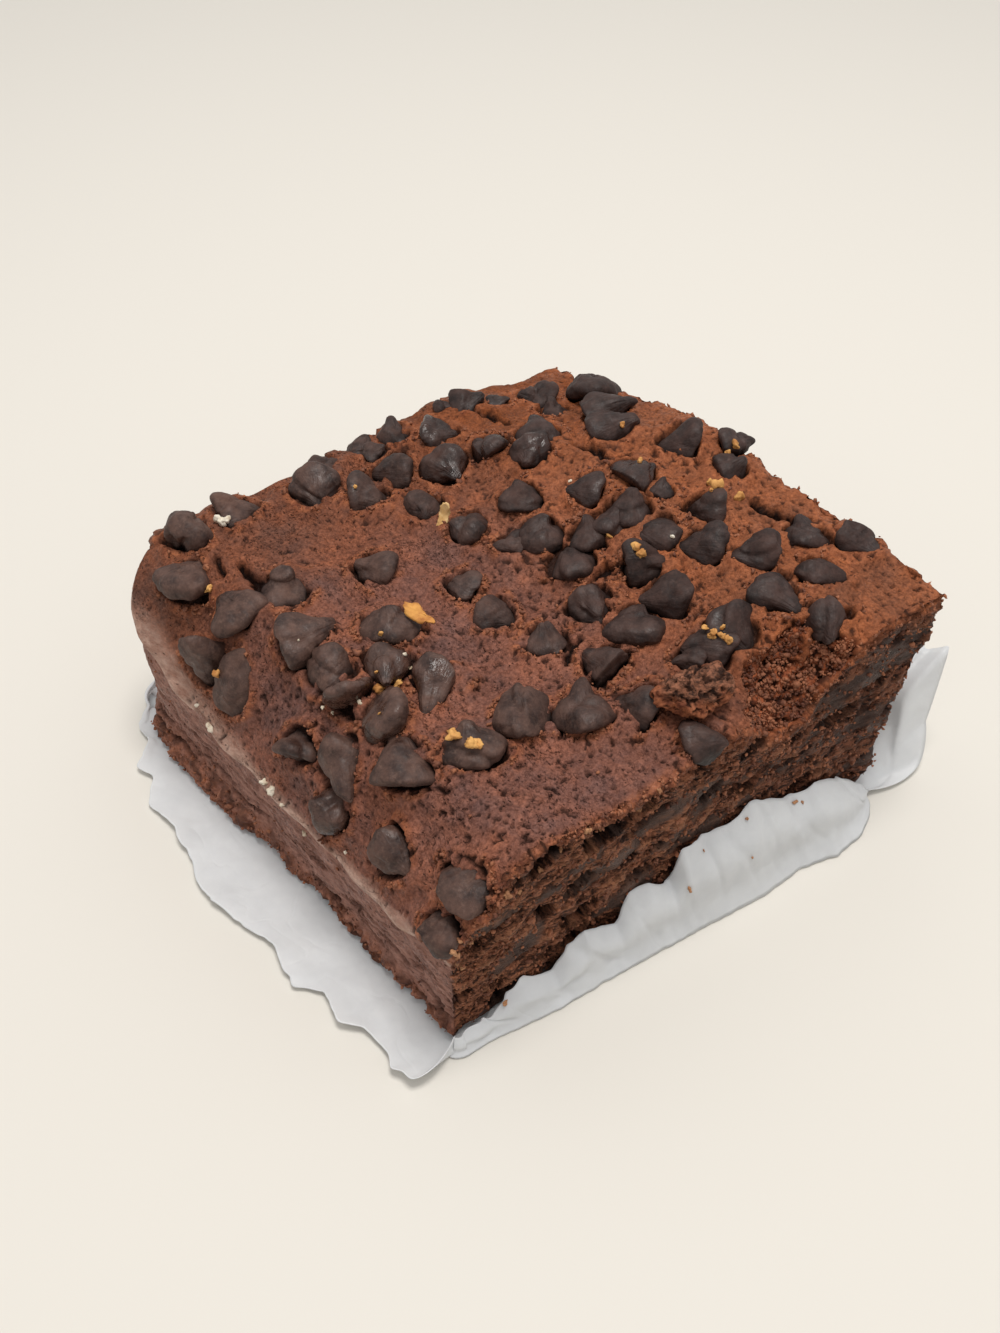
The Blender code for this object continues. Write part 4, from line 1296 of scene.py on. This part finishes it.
# Golden crumbs on the chips and crust: x, y, height, size
GOLDEN_CRUMBS = (
    (14.9, 19.6, 34.5, 0.9), (14.5, 17.9, 35.4, 1.7), (14.9, 18.6, 35.2, 1.2), (15.3, 15.2, 36.4, 1.7),
    (15.8, 14.6, 36.4, 1.2), (52.6, 31.8, 39.0, 1.7), (52.0, 25.8, 41.3, 1.4), (52.0, 24.7, 40.6, 1.2),
    (71.0, 28.6, 40.8, 2.0), (70.2, 29.6, 41.2, 1.3), (67.0, 26.1, 43.7, 0.8), (71.8, 24.9, 40.4, 1.4),
    (50.3, 9.6, 39.4, 1.1), (50.3, 8.3, 39.7, 1.2), (50.8, 7.3, 39.5, 1.1), (51.1, 6.3, 39.3, 1.0),
    (49.9, 8.3, 39.2, 0.9), (51.5, 7.8, 40.2, 1.1), (64.7, 38.7, 42.3, 0.8), (70.4, 48.9, 40.6, 1.0),
    (77.7, 33.1, 41.4, 1.2), (79.1, 33.0, 42.0, 1.8), (13.4, 34.0, 34.5, 0.7), (11.8, 31.1, 34.6, 1.5),
    (3.7, 64.2, 32.9, 1.0), (-0.7, 56.1, 24.3, 1.3), (17.2, 38.6, 35.7, 0.8), (9.4, 27.3, 35.1, 0.6),
    (31.3, 66.5, 36.5, 0.8), (14.0, 30.2, 35.4, 1.5),
)
# Tan crumbs along the cut rim: x, y, height, size
RIM_CRUMBS = (
    (0.2, -0.3, 22.7, 0.9), (0.7, -0.5, 21.5, 0.8), (0.4, -0.5, 20.0, 0.7), (1.8, 0.1, 16.7, 0.6),
    (3.2, 0.2, 21.6, 0.8), (1.6, 0.0, 23.6, 0.7), (13.5, -0.6, 28.5, 0.8), (16.4, -0.9, 30.6, 0.8),
    (23.6, -0.3, 27.7, 0.7), (28.1, -2.5, 30.6, 0.8), (8.6, -0.2, 27.4, 0.8), (10.4, -0.4, 26.6, 0.7),
    (20.4, -1.2, 31.6, 0.9), (31.6, -2.2, 31.4, 0.8),
)
# Cream specks: x, y, height, size
CREAM_SPECKS = (
    (-4.6, 57.6, 18.6, 0.7), (-4.7, 53.9, 16.9, 1.2), (-3.4, 40.2, 17.1, 1.0), (-3.3, 38.3, 17.1, 1.2),
    (-3.4, 35.2, 17.0, 0.6), (-2.2, 32.3, 12.3, 0.7), (-1.0, 22.4, 18.3, 0.6), (7.5, 44.3, 36.1, 0.4),
    (11.8, 73.6, 35.3, 1.7), (12.3, 73.0, 35.3, 1.1), (8.7, 31.1, 34.2, 0.6), (5.6, 36.1, 30.7, 0.6),
    (57.8, 24.4, 41.1, 0.5), (55.7, 44.2, 39.5, 0.5), (6.0, 34.0, 31.4, 0.5), (17.4, 33.3, 35.8, 0.5),
    (17.6, 32.3, 33.9, 0.5),
)
# Brown crumbs fallen on the paper: x, y, height, size
PAPER_CRUMBS = (
    (58.0, -6.4, 10.6, 0.8), (59.1, -6.9, 10.1, 0.5), (47.9, -5.5, 14.5, 0.6), (39.7, -5.2, 13.6, 0.5),
    (47.1, -8.5, 8.9, 0.5), (36.1, -6.9, 9.5, 0.7), (6.9, -2.3, 3.7, 0.7),
)
FLAKE_THICKNESS = 0.22
# Thin flakes: middle, long and short half sides, the way it faces, how it is turned
AMBER_FLAKE = ((22.8, 37.8, 36.8), 2.4, 1.0, (-0.2, -0.3, 1.0), -0.7)
PALE_FLAKE = ((38.4, 53.3, 35.4), 2.2, 1.0, (-0.7, -0.6, 0.35), 1.4)


def landed(point, pieces):
    """Where the line of view through a point first meets the settled pieces, and the way out there."""
    target = FRONT_FOOT + Vector(point[:3]) * MM
    way = (target - FRONT_FOOT - VIEW_PLACE * MM).normalized()
    start = target - way * 0.012
    spot, out = target, Vector((0.0, 0.0, 1.0))
    nearest = 0.03
    for piece in pieces:
        hit, place, normal, _ = piece.ray_cast(start, way, distance=nearest)
        if hit:
            spot, out = place, normal
            nearest = (place - start).length
    return (spot - FRONT_FOOT) / MM, out


def stick_crumbs(name, rows, pieces, seed, fineness=3, sunk=0.3):
    """Crumbs of given sizes, resting on the pieces at given places."""
    draw = np.random.default_rng(seed)
    forms = crumb_forms(4, fineness, seed)
    places = []
    for row in rows:
        spot, out = landed(row, pieces)
        size = row[3]
        turn = any_way(draw)
        form = int(draw.integers(len(forms)))
        spot = spot + out * size * (0.5 - sunk)
        places.append((form, crumb_place(draw, spot, turn, size, (0.6, 1.0))))
    return joined_copies(name, forms, places)


def make_flake(name, middle, half_length, half_width, facing, turn, seed):
    """A thin, curled and ragged flake."""
    deselect_all()
    bpy.ops.mesh.primitive_grid_add(x_subdivisions=16, y_subdivisions=10, size=2.0)
    flake = named(name)
    points = points_of(flake.data)
    x, y = points[:, 0], points[:, 1]
    rounding = np.maximum(np.abs(x), np.abs(y)) / (np.hypot(x, y) + 1e-6)
    ways = points / (np.hypot(x, y) + 1e-6)[:, None]
    ragged = rounding * (1.0 + 0.5 * roughness_at(ways, 0.8, 4, seed))
    curl = 0.35 * x * x - 0.2 * y * y + 0.3 * roughness_at(points, 1.0, 3, seed + 5.0)
    set_points(flake.data, np.column_stack((x * half_length * ragged, y * half_width * ragged, curl)))
    face_outwards(flake)
    thicken(flake, FLAKE_THICKNESS)
    upright = Vector(facing).to_track_quat("Z", "Y").to_matrix().to_4x4()
    flake.data.transform(Matrix.Translation(middle) @ upright @ Matrix.Rotation(turn, 4, "Z"))
    shade(flake)
    return flake


# ---------------------------------------------------------------- broken-off lump

LUMP_MIDDLE = Vector((42.2, 3.6, 37.6))
LUMP_HALF = Vector((5.0, 3.4, 2.9))


def make_lump():
    """A lump of crumb broken off the edge of the crust."""
    deselect_all()
    bpy.ops.mesh.primitive_ico_sphere_add(subdivisions=6, radius=1.0)
    lump = named("crumb_lump")
    ways = points_of(lump.data)
    points = ways * LUMP_HALF
    craggy = 1.7 * roughness_at(points, 4.2, 4, 131.0) + 0.30 * roughness_at(points, 0.8, 4, 137.0)
    pocket = smooth((roughness_at(points, 0.8, 2, 141.0) - 0.20) / 0.16)
    points = points + ways * (craggy - 0.35 * pocket)[:, None]
    set_points(lump.data, points)
    lump.data.transform(Matrix.Translation(LUMP_MIDDLE) @ Matrix.Rotation(math.radians(-30.0), 4, "Z"))
    above = smooth((ways[:, 2] + 0.4 * roughness_at(points, 2.0, 3, 145.0) - 0.25) / 0.4)
    set_mask(lump.data, "cut_side", above)
    set_mask(lump.data, "smear", above * 0.25)
    set_mask(lump.data, "torn", (1.0 - above) * 0.75)
    # Painted shade in the lump's pockets
    set_mask(lump.data, "hollow_shade", pocket * 0.85)
    shade(lump)
    return lump


# ---------------------------------------------------------------- assembly

chip_nodes = sorted(name for name in frame["nodes"] if name.startswith("chip_"))
node_places = [chip_place_from_node(frame["nodes"][name]) for name in chip_nodes]
further_places = [chip_place(*row) for row in FURTHER_CHIPS]

slab = make_slab(node_places + further_places)

hollow_shade_mask, torn_mask, cut_mask, opened_mask = (
    mask_values(slab, name) for name in ("hollow_shade", "torn", "cut_side", "opened"))
slab_points = points_of(slab.data)
far_side = np.maximum(smooth((slab_points[:, 0] - 62.0) / 10.0),
                      smooth((slab_points[:, 1] - 64.0) / 10.0))
# Few crumbs where the hollows are painted dark with shade
shown = (slab_points[:, 2] > 1.0).astype(float) * np.clip(1.0 - 1.6 * hollow_shade_mask, 0.0, 1.0)
crumb_chance = shown * (0.0010 + torn_mask ** 3 * (1.0 - 0.8 * far_side) + 0.14 * cut_mask
                        + 0.9 * opened_mask)
loose_crumbs = [scatter_crumbs(name, slab, crumb_chance, *how) for name, *how in LOOSE_CRUMBS]

settle(slab, "crust", BROWNIE, "brownie")
for piece in loose_crumbs:
    settle(piece, "crust", LOOSE_CRUMB)

settle(make_lump(), "crust", BROWNIE)

settled = [slab]
for number, (name, place) in enumerate(zip(chip_nodes, node_places)):
    chip = make_chip(f"chocolate_{name}", name, place, NODE_CHIP_SEED + number)
    settled.append(settle(chip, "chocolate", CHOCOLATE, name))
for number, place in enumerate(further_places):
    name = f"further_chip_{number + 1:02d}"
    chip = make_chip(name, name, place, FURTHER_CHIP_SEED + number)
    settled.append(settle(chip, "chocolate", CHOCOLATE))

paper = settle(make_paper(), "paper", PAPER, "paper_case")
settled.append(paper)

for name, rows, under, seed, finish in (
        ("golden_crumbs", GOLDEN_CRUMBS, settled, 21, GOLDEN),
        ("tan_rim_crumbs", RIM_CRUMBS, settled, 27, TAN),
        ("cream_specks", CREAM_SPECKS, settled, 23, CREAM),
        ("crumbs_on_paper", PAPER_CRUMBS, [paper], 25, TAN)):
    settle(stick_crumbs(name, rows, under, seed), "crust", finish)
settle(make_flake("amber_flake", *AMBER_FLAKE, 7.0), "crust", AMBER)
settle(make_flake("pale_golden_flake", *PALE_FLAKE, 9.0), "crust", PALE_GOLD)


# ---------------------------------------------------------------- floor, light and view

BRIGHT_WAY = (0.20, 0.16, 0.97)
ROOM_DIM = 0.38
ROOM_BRIGHT = 0.82


def make_floor():
    deselect_all()
    bpy.ops.mesh.primitive_plane_add(size=3.0, location=(0.0, 0.0, -0.0002))
    floor = named("pale_floor")
    made, _, shader = start_material("pale_floor", (0.72, 0.69, 0.635), 0.6)
    shader.inputs["Specular IOR Level"].default_value = 0.15
    floor.data.materials.append(made)


def make_light(name, place, size, power, colour):
    lamp = bpy.data.lights.new(name, "AREA")
    lamp.shape = "DISK"
    lamp.size = size
    lamp.energy = power
    lamp.color = colour
    holder = bpy.data.objects.new(name, lamp)
    holder.location = place
    holder.rotation_euler = (-Vector(place)).to_track_quat("-Z", "Y").to_euler()
    bpy.context.scene.collection.objects.link(holder)


def make_view():
    camera = bpy.data.cameras.new("view")
    camera.lens = LENS
    camera.clip_start = 0.001
    holder = bpy.data.objects.new("view", camera)
    holder.location = FRONT_FOOT + VIEW_PLACE * MM
    holder.rotation_euler = (math.radians(90.0 - VIEW_DOWN), 0.0, math.radians(VIEW_HEADING))
    bpy.context.scene.collection.objects.link(holder)
    bpy.context.scene.camera = holder


def make_world():
    """A soft room, brighter above and behind the slab than on the viewer's side."""
    world = bpy.data.worlds.new("soft_room")
    world.use_nodes = True
    tree = world.node_tree
    background = tree.nodes["Background"]
    background.inputs["Color"].default_value = (1.0, 0.99, 0.975, 1.0)
    way = add_node(tree, "ShaderNodeTexCoord")
    facing = add_node(tree, "ShaderNodeVectorMath", operation="DOT_PRODUCT")
    tree.links.new(way.outputs["Generated"], facing.inputs[0])
    facing.inputs[1].default_value = BRIGHT_WAY
    strength = add_node(tree, "ShaderNodeMapRange", [
        ("From Min", -0.4), ("From Max", 1.0), ("To Min", ROOM_DIM), ("To Max", ROOM_BRIGHT)])
    tree.links.new(facing.outputs["Value"], strength.inputs["Value"])
    tree.links.new(strength.outputs["Result"], background.inputs["Strength"])
    bpy.context.scene.world = world


make_floor()
make_light("overhead_panel", (0.05, -0.01, 0.66), 0.24, 2.55, (1.0, 0.97, 0.93))
make_view()
make_world()
bpy.context.scene.view_settings.view_transform = "Standard"
